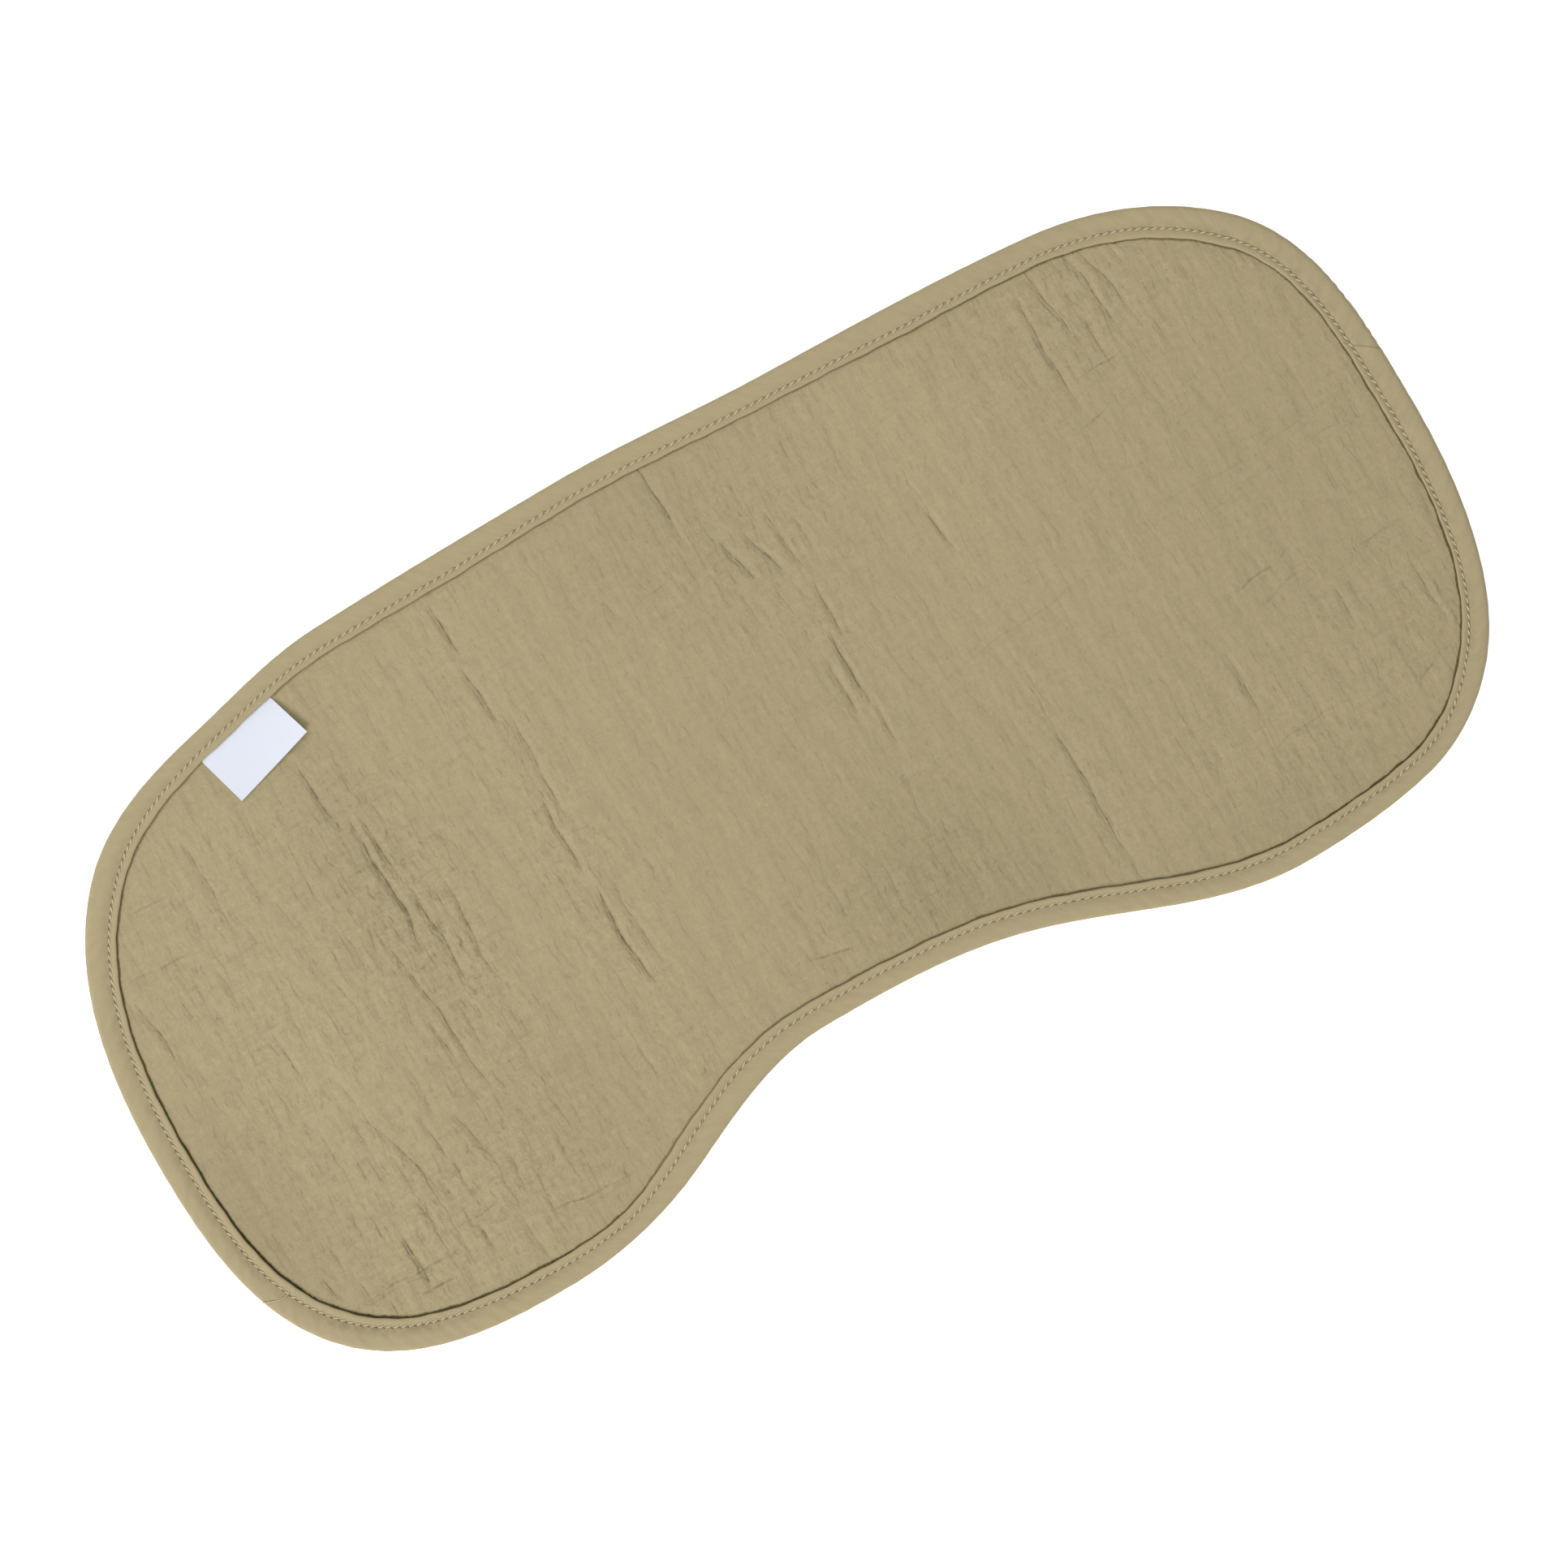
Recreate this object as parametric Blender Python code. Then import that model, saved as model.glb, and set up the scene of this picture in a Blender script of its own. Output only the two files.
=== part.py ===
# Burp cloth: a crinkled double-gauze panel in a folded bias binding, with a small side label.
# It lies flat on z = 0. Metres, +Z up, +X along the cloth, +Y towards its straighter long edge.
import math

import bmesh
import bpy
import numpy as np

MM = 0.001

# Where the cut edge runs, counterclockwise from the right-hand end. The heading is the way that
# the edge runs there, in degrees from +X, and the binding is that wide there.
OUTLINE = (
    # place, x_mm, y_mm, heading_deg, binding_mm
    ("right end", 250, -2, 90, 10.5),
    ("upper right corner", 228, 83.6, 137, 11.5),
    ("top right", 165, 110.9, 174, 10.4),
    ("top dip", 62, 116.4, 178, 9.7),
    ("top middle", -15, 120.6, 180, 9.5),
    ("top left", -112, 119.3, 182, 9.7),
    ("upper left", -165.6, 109.1, 192.5, 9.8),
    ("upper left corner", -221, 83.0, 227, 10.5),
    ("left end", -250, -14, 270, 11.0),
    ("lower left corner", -226.5, -96.4, 315, 12.0),
    ("lower left lobe", -150, -118, 0, 10.3),
    ("neck left", -90, -104.4, 25, 11.0),
    ("neck middle", -30, -85.7, 0, 10.0),
    ("neck right", 44, -92.7, 345, 9.7),
    ("lower right", 88, -108.6, 338.5, 9.8),
    ("lower right lobe", 140, -120.7, 0, 9.5),
    ("lower right shoulder", 190, -115.9, 13, 9.0),
    ("lower right corner", 226, -93.6, 49, 9.9),
    ("right flank", 243, -60, 74, 9.4),
)
STEPS_PER_SPAN = 60
LIP_SAMPLES = 400
SHARP_ANGLE = 50

# The binding: two legs folded over the panel's edge, drawn as distance in from the edge and height
# where it has its nominal width. Where it is wider or narrower, all but its fold moves in or out.
BINDING_WIDTH = 10.5
LEG = 1.0
SEWN_GAP = 0.3
RIM_THICKNESS = 1.0
SLOT_DEPTH_FROM_EDGE = 1.6
PUFF = 0.22
STITCH_FROM_LIP = 3.0
STITCH_DIP = 0.12
LIP_ROUND = 0.4
FOLD_ROUND = 0.35
FOLD_SHARE = 0.18
BINDING_SECTIONS = 160
PUCKER_COUNT = 46
PUCKER_SPELLS = 3
PUCKER_RISE = 0.10

SLOT_FLOOR = LEG
RIM_UNDER = SLOT_FLOOR + SEWN_GAP
RIM_TOP = RIM_UNDER + RIM_THICKNESS
SLOT_ROOF = RIM_TOP + SEWN_GAP
BINDING_TOP = SLOT_ROOF + LEG

# The panel: its rim is held in the binding's slot, and past the lip it comes down to the floor.
RIM_FROM_EDGE = 2.1
PAST_LIP = 0.6
RELIEF_FROM_EDGE = 11.1
FIELD_FROM_EDGE = 14.5
FIELD_COLUMNS = 144
FIELD_ROWS = 20
END_BOW = 0.2
RELIEF_FADE = 6.0
THINNEST_TOP = 1.25
THICKEST_TOP = 3.0

# Puffed ribs run straight across the cloth, and wander a little from side to side.
RIB_HEIGHT = 0.12
RIB_PITCH = 13.0
RIB_WANDER = (
    # sway_mm, x_wave_mm, y_wave_mm
    (3.0, 565, 195),
    (1.6, 295, 82),
)

# Broad swells, higher and lower by a fraction of a millimetre.
SWELLS = (
    # height_mm, x_wave_mm, y_wave_mm
    (0.10, 132, 240),
    (0.08, -175, 130),
    (0.05, 74, -95),
)

# A crease is a pinched trough with a raised shoulder on each side.
CREASE_HALF_WIDTH = 2.6
DIP_HALF_WIDTH = 7.0
SHOULDER_AT = 2.1
SHOULDER_WIDTH = 0.9
SHOULDER_SHARE = 0.35

# The pinched creases that show from a step away, most of them straight across the cloth.
CREASES = (
    # x0_mm, y0_mm, x1_mm, y1_mm, depth_mm
    (-134.5, 57, -135, 5, 0.9),
    (-140.5, 84, -138.5, 55, 0.8),
    (-128.5, 25, -127.5, -11, 0.8),
    (-117, 24, -117, -18, 0.6),
    (-143, 15, -140, -45, 0.6),
    (-74, 106, -74, 60, 0.8),
    (-74.5, 30, -74, 0, 0.8),
    (-73.5, -5, -73, -42, 1.0),
    (-21.5, 77, -20.5, 68, 0.5),
    (11.5, 106, 11.5, 80, 0.7),
    (22, 75, 27, 57, 0.8),
    (31, 73, 36, 55, 0.8),
    (39, 48, 38.5, -12, 0.8),
    (88.5, 50, 90, 30, 0.5),
    (88, -40, 87.5, -90, 0.6),
    (158.5, 104, 162, 70, 0.5),
    (151, 95, 151, 50, 0.5),
    (172.5, 104, 178, 65, 0.8),
    (152, -45, 151, -70, 0.5),
    (200, -42, 200, -58, 0.5),
    (222, -50, 222, -75, 0.5),
    (-229, 41, -226.5, 15, 0.8),
    (-214.5, 37, -214, 22, 0.5),
    (-187, 78, -187, 45, 0.6),
    (-193.5, 8, -192, -12, 0.6),
    (-191, -72, -190, -95, 0.8),
    (-181, -33, -170, -70, 0.6),
    (-155, -45, -150, -70, 0.6),
)

# Long shallow dips that run along the cloth.
DIPS = (
    # x0_mm, y0_mm, x1_mm, y1_mm, depth_mm
    (-218, -86, -175, -86, 0.6),
    (-142, -93, -111, -96, 0.6),
    (-23, -64, -8, -68, 0.5),
    (-227, 48, -200, 44, 0.4),
    (160, -31, 226, -36, 0.5),
    (150, -82, 215, -82, 0.4),
    (147, 45, 176, 60, 0.4),
)

# The label: its sewn end butts the binding's lip, and its free right-hand corner lifts.
LABEL_LEFT_X = -167.4
LABEL_RIGHT_X = -136.2
LABEL_FREE_LEFT = (-162.4, 81.0)
LABEL_FREE_RIGHT = (-131.1, 90.0)
LABEL_THICKNESS = 1.0
LABEL_LIFT = 1.1
SEWN_LIFT_SHARE = 0.15
LABEL_COLUMNS = 10
LABEL_ROWS = 6
FLAT_ROUND_LABEL = 2.0
LABEL_FADE = 5.0

COLOURS = {
    "muslin_panel": (0.397, 0.328, 0.194, 1.0),
    "edge_binding": (0.445, 0.366, 0.212, 1.0),
    "side_label": (0.73, 0.76, 0.84, 1.0),
}
CLOTH_ROUGHNESS = 0.95


def smoothstep(low, high, value):
    t = np.clip((value - low) / (high - low), 0.0, 1.0)
    return t * t * (3.0 - 2.0 * t)


def edge_curve():
    # Cubic spans between the places of the table, each leaving and arriving on its heading.
    spans = []
    t = np.linspace(0.0, 1.0, STEPS_PER_SPAN, endpoint=False)
    for here, there in zip(OUTLINE, OUTLINE[1:] + OUTLINE[:1]):
        start, end = np.array(here[1:3]), np.array(there[1:3])
        leave, arrive = math.radians(here[3]), math.radians(there[3])
        turn = abs((arrive - leave + math.pi) % math.tau - math.pi)
        reach = math.dist(start, end)
        if turn > 0.001:
            reach *= 2.0 * math.tan(turn / 4.0) / math.sin(turn / 2.0)
        pull_out = reach * np.array((math.cos(leave), math.sin(leave)))
        pull_in = reach * np.array((math.cos(arrive), math.sin(arrive)))
        spans.append(
            np.outer(2 * t**3 - 3 * t**2 + 1, start)
            + np.outer(t**3 - 2 * t**2 + t, pull_out)
            + np.outer(3 * t**2 - 2 * t**3, end)
            + np.outer(t**3 - t**2, pull_in)
        )
    return np.vstack(spans)


class Edge:
    # The cut edge as a closed curve: points at a walk along it, and the same curve set in.
    def __init__(self):
        points = edge_curve()
        along = np.roll(points, -1, axis=0) - np.roll(points, 1, axis=0)
        along /= np.linalg.norm(along, axis=1)[:, None]
        steps = np.linalg.norm(np.roll(points, -1, axis=0) - points, axis=1)
        rows = np.column_stack((points, -along[:, 1], along[:, 0]))
        self.points = points
        self.closed_rows = np.vstack((rows, rows[:1]))
        self.walk = np.concatenate(([0.0], np.cumsum(steps)))
        self.length = self.walk[-1]
        widths = [row[4] for row in OUTLINE]
        self.width_walks = np.append(self.walk[:-1:STEPS_PER_SPAN], self.length)
        self.widths = np.array(widths + widths[:1])

    def walk_to(self, place):
        index = [row[0] for row in OUTLINE].index(place)
        return self.walk[index * STEPS_PER_SPAN]

    def at(self, walk, inset):
        walk = np.mod(walk, self.length)
        x, y, inward_x, inward_y = (np.interp(walk, self.walk, column) for column in self.closed_rows.T)
        return np.column_stack((x + inset * inward_x, y + inset * inward_y))

    def binding_width(self, walk):
        return np.interp(np.mod(walk, self.length), self.width_walks, self.widths)

    def inset_of(self, points):
        # How far each point lies in from the edge.
        gaps = [np.hypot(*(self.points - point).T).min() for point in points]
        return np.array(gaps)


def segment_distance(points, x0, y0, x1, y1):
    start, run = np.array((x0, y0)), np.array((x1 - x0, y1 - y0))
    share = np.clip((points - start) @ run / (run @ run), 0.0, 1.0)
    return np.hypot(*(points - start - share[:, None] * run).T)


def label_sewn_side(edge, across):
    # Points of the label's sewn side, on the binding's lip, from its left to its right end.
    walks = np.linspace(edge.walk_to("upper left corner"), edge.walk_to("top left"), LIP_SAMPLES)
    lip = edge.at(walks, edge.binding_width(walks) + SEWN_GAP)
    x = LABEL_LEFT_X + across * (LABEL_RIGHT_X - LABEL_LEFT_X)
    return np.column_stack((x, np.interp(x, lip[:, 0], lip[:, 1])))


def label_nearness(points, edge):
    # One under the label and close round it, and nought well away from it.
    sewn = label_sewn_side(edge, np.array((0.0, 1.0)))
    free = np.array((LABEL_FREE_LEFT, LABEL_FREE_RIGHT))
    middle = (sewn.mean(axis=0) + free.mean(axis=0)) / 2
    across = free[1] - free[0]
    width = np.hypot(*across)
    across /= width
    down = np.array((across[1], -across[0]))
    height = (free.mean(axis=0) - sewn.mean(axis=0)) @ down
    outside_width = np.abs((points - middle) @ across) - width / 2
    outside_height = np.abs((points - middle) @ down) - height / 2
    outside = np.maximum(outside_width, outside_height)
    return 1.0 - smoothstep(FLAT_ROUND_LABEL, FLAT_ROUND_LABEL + LABEL_FADE, outside)


def panel_top(points, inset, edge):
    # Height of the panel's upper side: puffed ribs and swells, with the creases pinched in.
    x, y = points.T
    sway = sum(row[0] * np.sin(math.tau * (x / row[1] + y / row[2])) for row in RIB_WANDER)
    relief = RIB_HEIGHT * np.sin(math.tau * (x + sway) / RIB_PITCH)
    relief += sum(row[0] * np.sin(math.tau * (x / row[1] + y / row[2])) for row in SWELLS)
    for rows, half_width in ((CREASES, CREASE_HALF_WIDTH), (DIPS, DIP_HALF_WIDTH)):
        for x0, y0, x1, y1, depth in rows:
            away = segment_distance(points, x0, y0, x1, y1) / half_width
            relief -= depth * np.exp(-away**2)
            relief += SHOULDER_SHARE * depth * np.exp(-((away - SHOULDER_AT) / SHOULDER_WIDTH) ** 2)
    relief *= smoothstep(RELIEF_FROM_EDGE, RELIEF_FROM_EDGE + RELIEF_FADE, inset)
    relief *= 1.0 - label_nearness(points, edge)
    return np.clip(RIM_TOP + relief, THINNEST_TOP, THICKEST_TOP)


def new_object(name, bm, collection):
    bmesh.ops.recalc_face_normals(bm, faces=bm.faces)
    mesh = bpy.data.meshes.new(name)
    bm.to_mesh(mesh)
    bm.free()
    mesh.shade_smooth()
    mesh.set_sharp_from_angle(angle=math.radians(SHARP_ANGLE))
    mesh.materials.append(cloth_material(name))
    piece = bpy.data.objects.new(name, mesh)
    collection.objects.link(piece)
    return piece


def cloth_material(name):
    material = bpy.data.materials.new(name)
    material.use_nodes = True
    shader = material.node_tree.nodes["Principled BSDF"]
    shader.inputs["Base Color"].default_value = COLOURS[name]
    shader.inputs["Roughness"].default_value = CLOTH_ROUGHNESS
    shader.inputs["Metallic"].default_value = 0.0
    return material


def long_side(edge, start_place, end_place):
    # Walks along one long side, stepped evenly in x, so that the columns run straight across.
    walks = np.linspace(edge.walk_to(start_place), edge.walk_to(end_place), LIP_SAMPLES)
    xs = edge.at(walks, FIELD_FROM_EDGE)[:, 0]
    wanted = np.linspace(xs[0], xs[-1], FIELD_COLUMNS + 1)
    order = np.argsort(xs)
    return np.interp(wanted, xs[order], walks[order])


def short_side(edge, start_place, end_place):
    start, end = edge.walk_to(start_place), edge.walk_to(end_place)
    if end < start:
        start -= edge.length
    return np.linspace(start, end, FIELD_ROWS + 1)


def place_field(bm, edge):
    # Bend the flat grid to the cloth's outline. Each vertex on its rim keeps its walk in a layer.
    walk_layer = bm.verts.layers.float.new("walk")
    low_walk = long_side(edge, "lower left corner", "lower right corner")
    high_walk = long_side(edge, "upper right corner", "upper left corner")[::-1]
    left_walk = short_side(edge, "upper left corner", "lower left corner")[::-1]
    right_walk = short_side(edge, "lower right corner", "upper right corner")
    low, high, left, right = (
        edge.at(walks, FIELD_FROM_EDGE) for walks in (low_walk, high_walk, left_walk, right_walk)
    )
    for vert in bm.verts:
        u, v = vert.co.x + 0.5, vert.co.y + 0.5
        column, row = round(u * FIELD_COLUMNS), round(v * FIELD_ROWS)
        bow_left = left[row] - ((1 - v) * low[0] + v * high[0])
        bow_right = right[row] - ((1 - v) * low[-1] + v * high[-1])
        point = (1 - v) * low[column] + v * high[column]
        point = point + bow_left * max(0.0, 1 - u / END_BOW) ** 2
        point = point + bow_right * max(0.0, 1 - (1 - u) / END_BOW) ** 2
        vert.co = (point[0], point[1], 0.0)
        if row == 0:
            vert[walk_layer] = low_walk[column]
        elif row == FIELD_ROWS:
            vert[walk_layer] = high_walk[column]
        elif column == 0:
            vert[walk_layer] = left_walk[row]
        elif column == FIELD_COLUMNS:
            vert[walk_layer] = right_walk[row]
    return walk_layer


def grow_ring(bm, rim):
    # One more ring of vertices from the open edges, each keeping the walk that it grew from.
    grown = bmesh.ops.extrude_edge_only(bm, edges=rim)["geom"]
    verts = [item for item in grown if isinstance(item, bmesh.types.BMVert)]
    ring = set(verts)
    edges = [item for item in grown if isinstance(item, bmesh.types.BMEdge) and ring.issuperset(item.verts)]
    return verts, edges


def place_ring(verts, walk_layer, edge, station):
    # The station gives each walk its distance in from the cut edge and its height.
    walks = np.array([vert[walk_layer] for vert in verts])
    insets, heights = station(walks)
    for vert, (x, y), height in zip(verts, edge.at(walks, insets), heights):
        vert.co = (x, y, height)


def level_ring(inset, height):
    return lambda walks: (np.full(len(walks), inset), np.full(len(walks), height))


def lip_ring(edge, past_lip, height):
    return lambda walks: (edge.binding_width(walks) + past_lip, np.full(len(walks), height))


def scale_to_metres(bm):
    bmesh.ops.scale(bm, vec=(MM, MM, MM), verts=bm.verts)


def build_panel(edge, collection):
    bm = bmesh.new()
    bmesh.ops.create_grid(bm, x_segments=FIELD_COLUMNS, y_segments=FIELD_ROWS, size=0.5)
    walk_layer = place_field(bm, edge)
    points = np.array([vert.co[:2] for vert in bm.verts])
    heights = panel_top(points, edge.inset_of(points), edge)
    for vert, height in zip(bm.verts, heights):
        vert.co.z = height
    rim = [item for item in bm.edges if item.is_boundary]
    for station in (
        lip_ring(edge, PAST_LIP, RIM_TOP),
        level_ring(RIM_FROM_EDGE, RIM_TOP),
        level_ring(RIM_FROM_EDGE, RIM_UNDER),
        lip_ring(edge, PAST_LIP, RIM_UNDER),
        level_ring(FIELD_FROM_EDGE, 0.0),
    ):
        verts, rim = grow_ring(bm, rim)
        place_ring(verts, walk_layer, edge, station)
    bmesh.ops.contextual_create(bm, geom=rim)
    scale_to_metres(bm)
    return new_object("muslin_panel", bm, collection)


def binding_stations(edge):
    # The folded strip, once round its section: distance in from the edge, height, and the share
    # of the puckers that lifts it there.
    stitch = BINDING_WIDTH - STITCH_FROM_LIP
    profile = (
        (0.0, 0.5 * BINDING_TOP, 0.0),
        (FOLD_ROUND, (1.0 - FOLD_SHARE) * BINDING_TOP, 0.0),
        (SLOT_DEPTH_FROM_EDGE, BINDING_TOP, 1.0),
        (0.5 * stitch, BINDING_TOP + PUFF, 1.0),
        (stitch, BINDING_TOP - STITCH_DIP, 0.0),
        (BINDING_WIDTH - LIP_ROUND, BINDING_TOP, 0.0),
        (BINDING_WIDTH, BINDING_TOP - LIP_ROUND, 0.0),
        (BINDING_WIDTH, SLOT_ROOF, 0.0),
        (SLOT_DEPTH_FROM_EDGE, SLOT_ROOF, 0.0),
        (SLOT_DEPTH_FROM_EDGE, SLOT_FLOOR, 0.0),
        (BINDING_WIDTH, SLOT_FLOOR, 0.0),
        (BINDING_WIDTH, 0.0, 0.0),
        (SLOT_DEPTH_FROM_EDGE, 0.0, 0.0),
        (FOLD_ROUND, FOLD_SHARE * BINDING_TOP, 0.0),
    )

    def station(inset, height, share):
        moves = max(0.0, (inset - SLOT_DEPTH_FROM_EDGE) / (BINDING_WIDTH - SLOT_DEPTH_FROM_EDGE))

        def place(walks):
            turn = math.tau * walks / edge.length
            pucker = PUCKER_RISE * np.sin(PUCKER_COUNT * turn) * np.cos(PUCKER_SPELLS * turn) ** 2
            wider = edge.binding_width(walks) - BINDING_WIDTH
            return inset + moves * wider, height + share * pucker
        return place

    return [station(*row) for row in profile]


def build_binding(edge, collection):
    bm = bmesh.new()
    walk_layer = bm.verts.layers.float.new("walk")
    bmesh.ops.create_circle(bm, segments=BINDING_SECTIONS, radius=1.0)
    for vert in bm.verts:
        turn = math.atan2(vert.co.y, vert.co.x) / math.tau
        vert[walk_layer] = (turn % 1.0) * edge.length
    first, *others = binding_stations(edge)
    place_ring(list(bm.verts), walk_layer, edge, first)
    start_rim = rim = list(bm.edges)
    for station in others:
        verts, rim = grow_ring(bm, rim)
        place_ring(verts, walk_layer, edge, station)
    bmesh.ops.bridge_loops(bm, edges=start_rim + rim)
    scale_to_metres(bm)
    return new_object("edge_binding", bm, collection)


def build_label(edge, collection):
    free_left, free_right = np.array(LABEL_FREE_LEFT), np.array(LABEL_FREE_RIGHT)
    bm = bmesh.new()
    bmesh.ops.create_grid(bm, x_segments=LABEL_COLUMNS, y_segments=LABEL_ROWS, size=0.5)
    for vert in bm.verts:
        across, down = vert.co.x + 0.5, 0.5 - vert.co.y
        sewn = label_sewn_side(edge, np.array((across,)))[0]
        free = free_left + across * (free_right - free_left)
        point = sewn + down * (free - sewn)
        lift = LABEL_LIFT * across**3 * (SEWN_LIFT_SHARE + (1 - SEWN_LIFT_SHARE) * down)
        vert.co = (point[0], point[1], SLOT_ROOF + lift)
    grown = bmesh.ops.extrude_face_region(bm, geom=bm.faces[:])["geom"]
    raised = [item for item in grown if isinstance(item, bmesh.types.BMVert)]
    bmesh.ops.translate(bm, verts=raised, vec=(0.0, 0.0, LABEL_THICKNESS))
    scale_to_metres(bm)
    return new_object("side_label", bm, collection)


def main():
    for item in list(bpy.data.objects):
        bpy.data.objects.remove(item, do_unlink=True)
    collection = bpy.data.collections.new("burp_cloth")
    bpy.context.scene.collection.children.link(collection)
    edge = Edge()
    build_panel(edge, collection)
    build_binding(edge, collection)
    build_label(edge, collection)


main()
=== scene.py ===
# Burp cloth, dressed: crinkled double gauze in a folded bias binding, its topstitching and a blank label.
# Places in the tables are in millimetres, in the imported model's frame.
import math

import bmesh
import bpy
import numpy as np
from mathutils import Matrix, Vector, kdtree


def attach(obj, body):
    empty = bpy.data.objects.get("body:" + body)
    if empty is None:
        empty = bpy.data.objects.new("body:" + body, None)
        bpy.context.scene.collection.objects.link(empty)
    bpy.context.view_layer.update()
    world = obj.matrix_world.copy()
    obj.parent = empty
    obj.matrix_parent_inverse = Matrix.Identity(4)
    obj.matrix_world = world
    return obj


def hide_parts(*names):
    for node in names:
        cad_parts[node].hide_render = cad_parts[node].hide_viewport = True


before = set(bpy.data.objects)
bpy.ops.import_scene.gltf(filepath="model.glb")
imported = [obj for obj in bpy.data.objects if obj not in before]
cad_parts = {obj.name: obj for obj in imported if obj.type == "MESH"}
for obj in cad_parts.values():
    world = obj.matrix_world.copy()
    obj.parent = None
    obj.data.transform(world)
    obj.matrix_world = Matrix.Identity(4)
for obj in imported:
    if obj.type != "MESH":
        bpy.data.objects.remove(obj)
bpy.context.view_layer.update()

mm = 0.001


# the cut edge, which every piece follows

clothOutline = (
    # place, x, y, heading in degrees from +X; counterclockwise
    ("right end", 250, -2, 90),
    ("upper right corner", 228, 83.6, 137),
    ("top right", 165, 110.9, 174),
    ("top dip", 62, 116.4, 178),
    ("top middle", -15, 120.6, 180),
    ("top left", -112, 119.3, 182),
    ("upper left", -165.6, 109.1, 192.5),
    ("upper left corner", -221, 83.0, 227),
    ("left end", -250, -14, 270),
    ("lower left corner", -226.5, -96.4, 315),
    ("lower left lobe", -150, -118, 0),
    ("neck left", -90, -104.4, 25),
    ("neck middle", -30, -85.7, 0),
    ("neck right", 44, -92.7, 345),
    ("lower right", 88, -108.6, 338.5),
    ("lower right lobe", 140, -120.7, 0),
    ("lower right shoulder", 190, -115.9, 13),
    ("lower right corner", 226, -93.6, 49),
    ("right flank", 243, -60, 74),
)
stepsPerSpan = 60

edgeCharacter = (
    # place, how much the binding puckers in mm, how dark the painted shadow in the gap at its lip is, how
    # wide that shadow is in mm
    ("right end", 0.12, 0.80, 0.9),
    ("upper right corner", 0.12, 0.60, 0.8),
    ("top right", 0.06, 0.55, 0.8),
    ("top dip", 0.04, 0.32, 0.8),
    ("top middle", 0.04, 0.28, 0.8),
    ("top left", 0.05, 0.22, 0.8),
    ("upper left", 0.06, 0.30, 0.8),
    ("upper left corner", 0.09, 0.50, 0.8),
    ("left end", 0.12, 0.95, 1.0),
    ("lower left corner", 0.18, 1.00, 1.15),
    ("lower left lobe", 0.13, 0.85, 1.0),
    ("neck left", 0.06, 0.50, 0.9),
    ("neck middle", 0.05, 0.45, 0.8),
    ("neck right", 0.06, 0.55, 0.9),
    ("lower right", 0.08, 0.55, 0.9),
    ("lower right lobe", 0.10, 0.80, 1.0),
    ("lower right shoulder", 0.11, 0.95, 0.9),
    ("lower right corner", 0.14, 0.90, 0.9),
    ("right flank", 0.13, 0.90, 0.9),
)


# the hand-guided seam: how far in from the cut edge the stitches and the binding's lip lie
seamLine = (
    # place, stitches there, lip there, stitches half-way to the next place, lip half-way
    ("right end", 8.2, 10.6, 8.5, 10.6),
    ("upper right corner", 8.5, 11.5, 7.4, 10.8),
    ("top right", 7.5, 10.0, 8.6, 11.0),
    ("top dip", 7.4, 9.8, 7.1, 9.6),
    ("top middle", 7.1, 9.6, 8.0, 10.4),
    ("top left", 7.1, 9.4, 6.5, 9.1),
    ("upper left", 6.2, 8.9, 7.2, 9.9),
    ("upper left corner", 8.6, 11.2, 8.2, 10.6),
    ("left end", 8.1, 10.8, 7.6, 10.7),
    ("lower left corner", 8.4, 11.5, 8.5, 10.9),
    ("lower left lobe", 7.3, 10.1, 6.1, 9.0),
    ("neck left", 7.8, 11.2, 8.5, 11.3),
    ("neck middle", 6.9, 9.7, 6.5, 8.9),
    ("neck right", 7.1, 9.5, 7.2, 9.5),
    ("lower right", 7.0, 9.5, 7.0, 9.5),
    ("lower right lobe", 7.1, 9.2, 6.9, 9.2),
    ("lower right shoulder", 6.3, 8.6, 6.2, 8.7),
    ("lower right corner", 7.1, 9.5, 7.1, 9.4),
    ("right flank", 7.2, 9.0, 8.2, 9.8),
)


def outlinePoints():
    # cubic spans between the places, each leaving and arriving on its heading
    spans = []
    t = np.linspace(0.0, 1.0, stepsPerSpan, endpoint=False)
    for here, there in zip(clothOutline, clothOutline[1:] + clothOutline[:1]):
        start, end = np.array(here[1:3]), np.array(there[1:3])
        leave, arrive = math.radians(here[3]), math.radians(there[3])
        turn = abs((arrive - leave + math.pi) % math.tau - math.pi)
        reach = math.dist(start, end)
        if turn > 0.001:
            reach *= 2.0 * math.tan(turn / 4.0) / math.sin(turn / 2.0)
        pullOut = reach * np.array((math.cos(leave), math.sin(leave)))
        pullIn = reach * np.array((math.cos(arrive), math.sin(arrive)))
        spans.append(
            np.outer(2 * t**3 - 3 * t**2 + 1, start)
            + np.outer(t**3 - 2 * t**2 + t, pullOut)
            + np.outer(3 * t**2 - 2 * t**3, end)
            + np.outer(t**3 - t**2, pullIn)
        )
    return np.vstack(spans)


edgePoints = outlinePoints()
edgeAlong = np.roll(edgePoints, -1, axis=0) - np.roll(edgePoints, 1, axis=0)
edgeAlong /= np.linalg.norm(edgeAlong, axis=1)[:, None]
edgeRows = np.column_stack((edgePoints, -edgeAlong[:, 1], edgeAlong[:, 0]))
edgeRows = np.vstack((edgeRows, edgeRows[:1]))
edgeSteps = np.linalg.norm(np.roll(edgePoints, -1, axis=0) - edgePoints, axis=1)
edgeWalk = np.concatenate(([0.0], np.cumsum(edgeSteps)))
edgeLength = edgeWalk[-1]

edgeTree = kdtree.KDTree(len(edgePoints))
for number, (x, y) in enumerate(edgePoints):
    edgeTree.insert((x, y, 0.0), number)
edgeTree.balance()


def walkTo(place):
    return edgeWalk[[row[0] for row in clothOutline].index(place) * stepsPerSpan]


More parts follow.
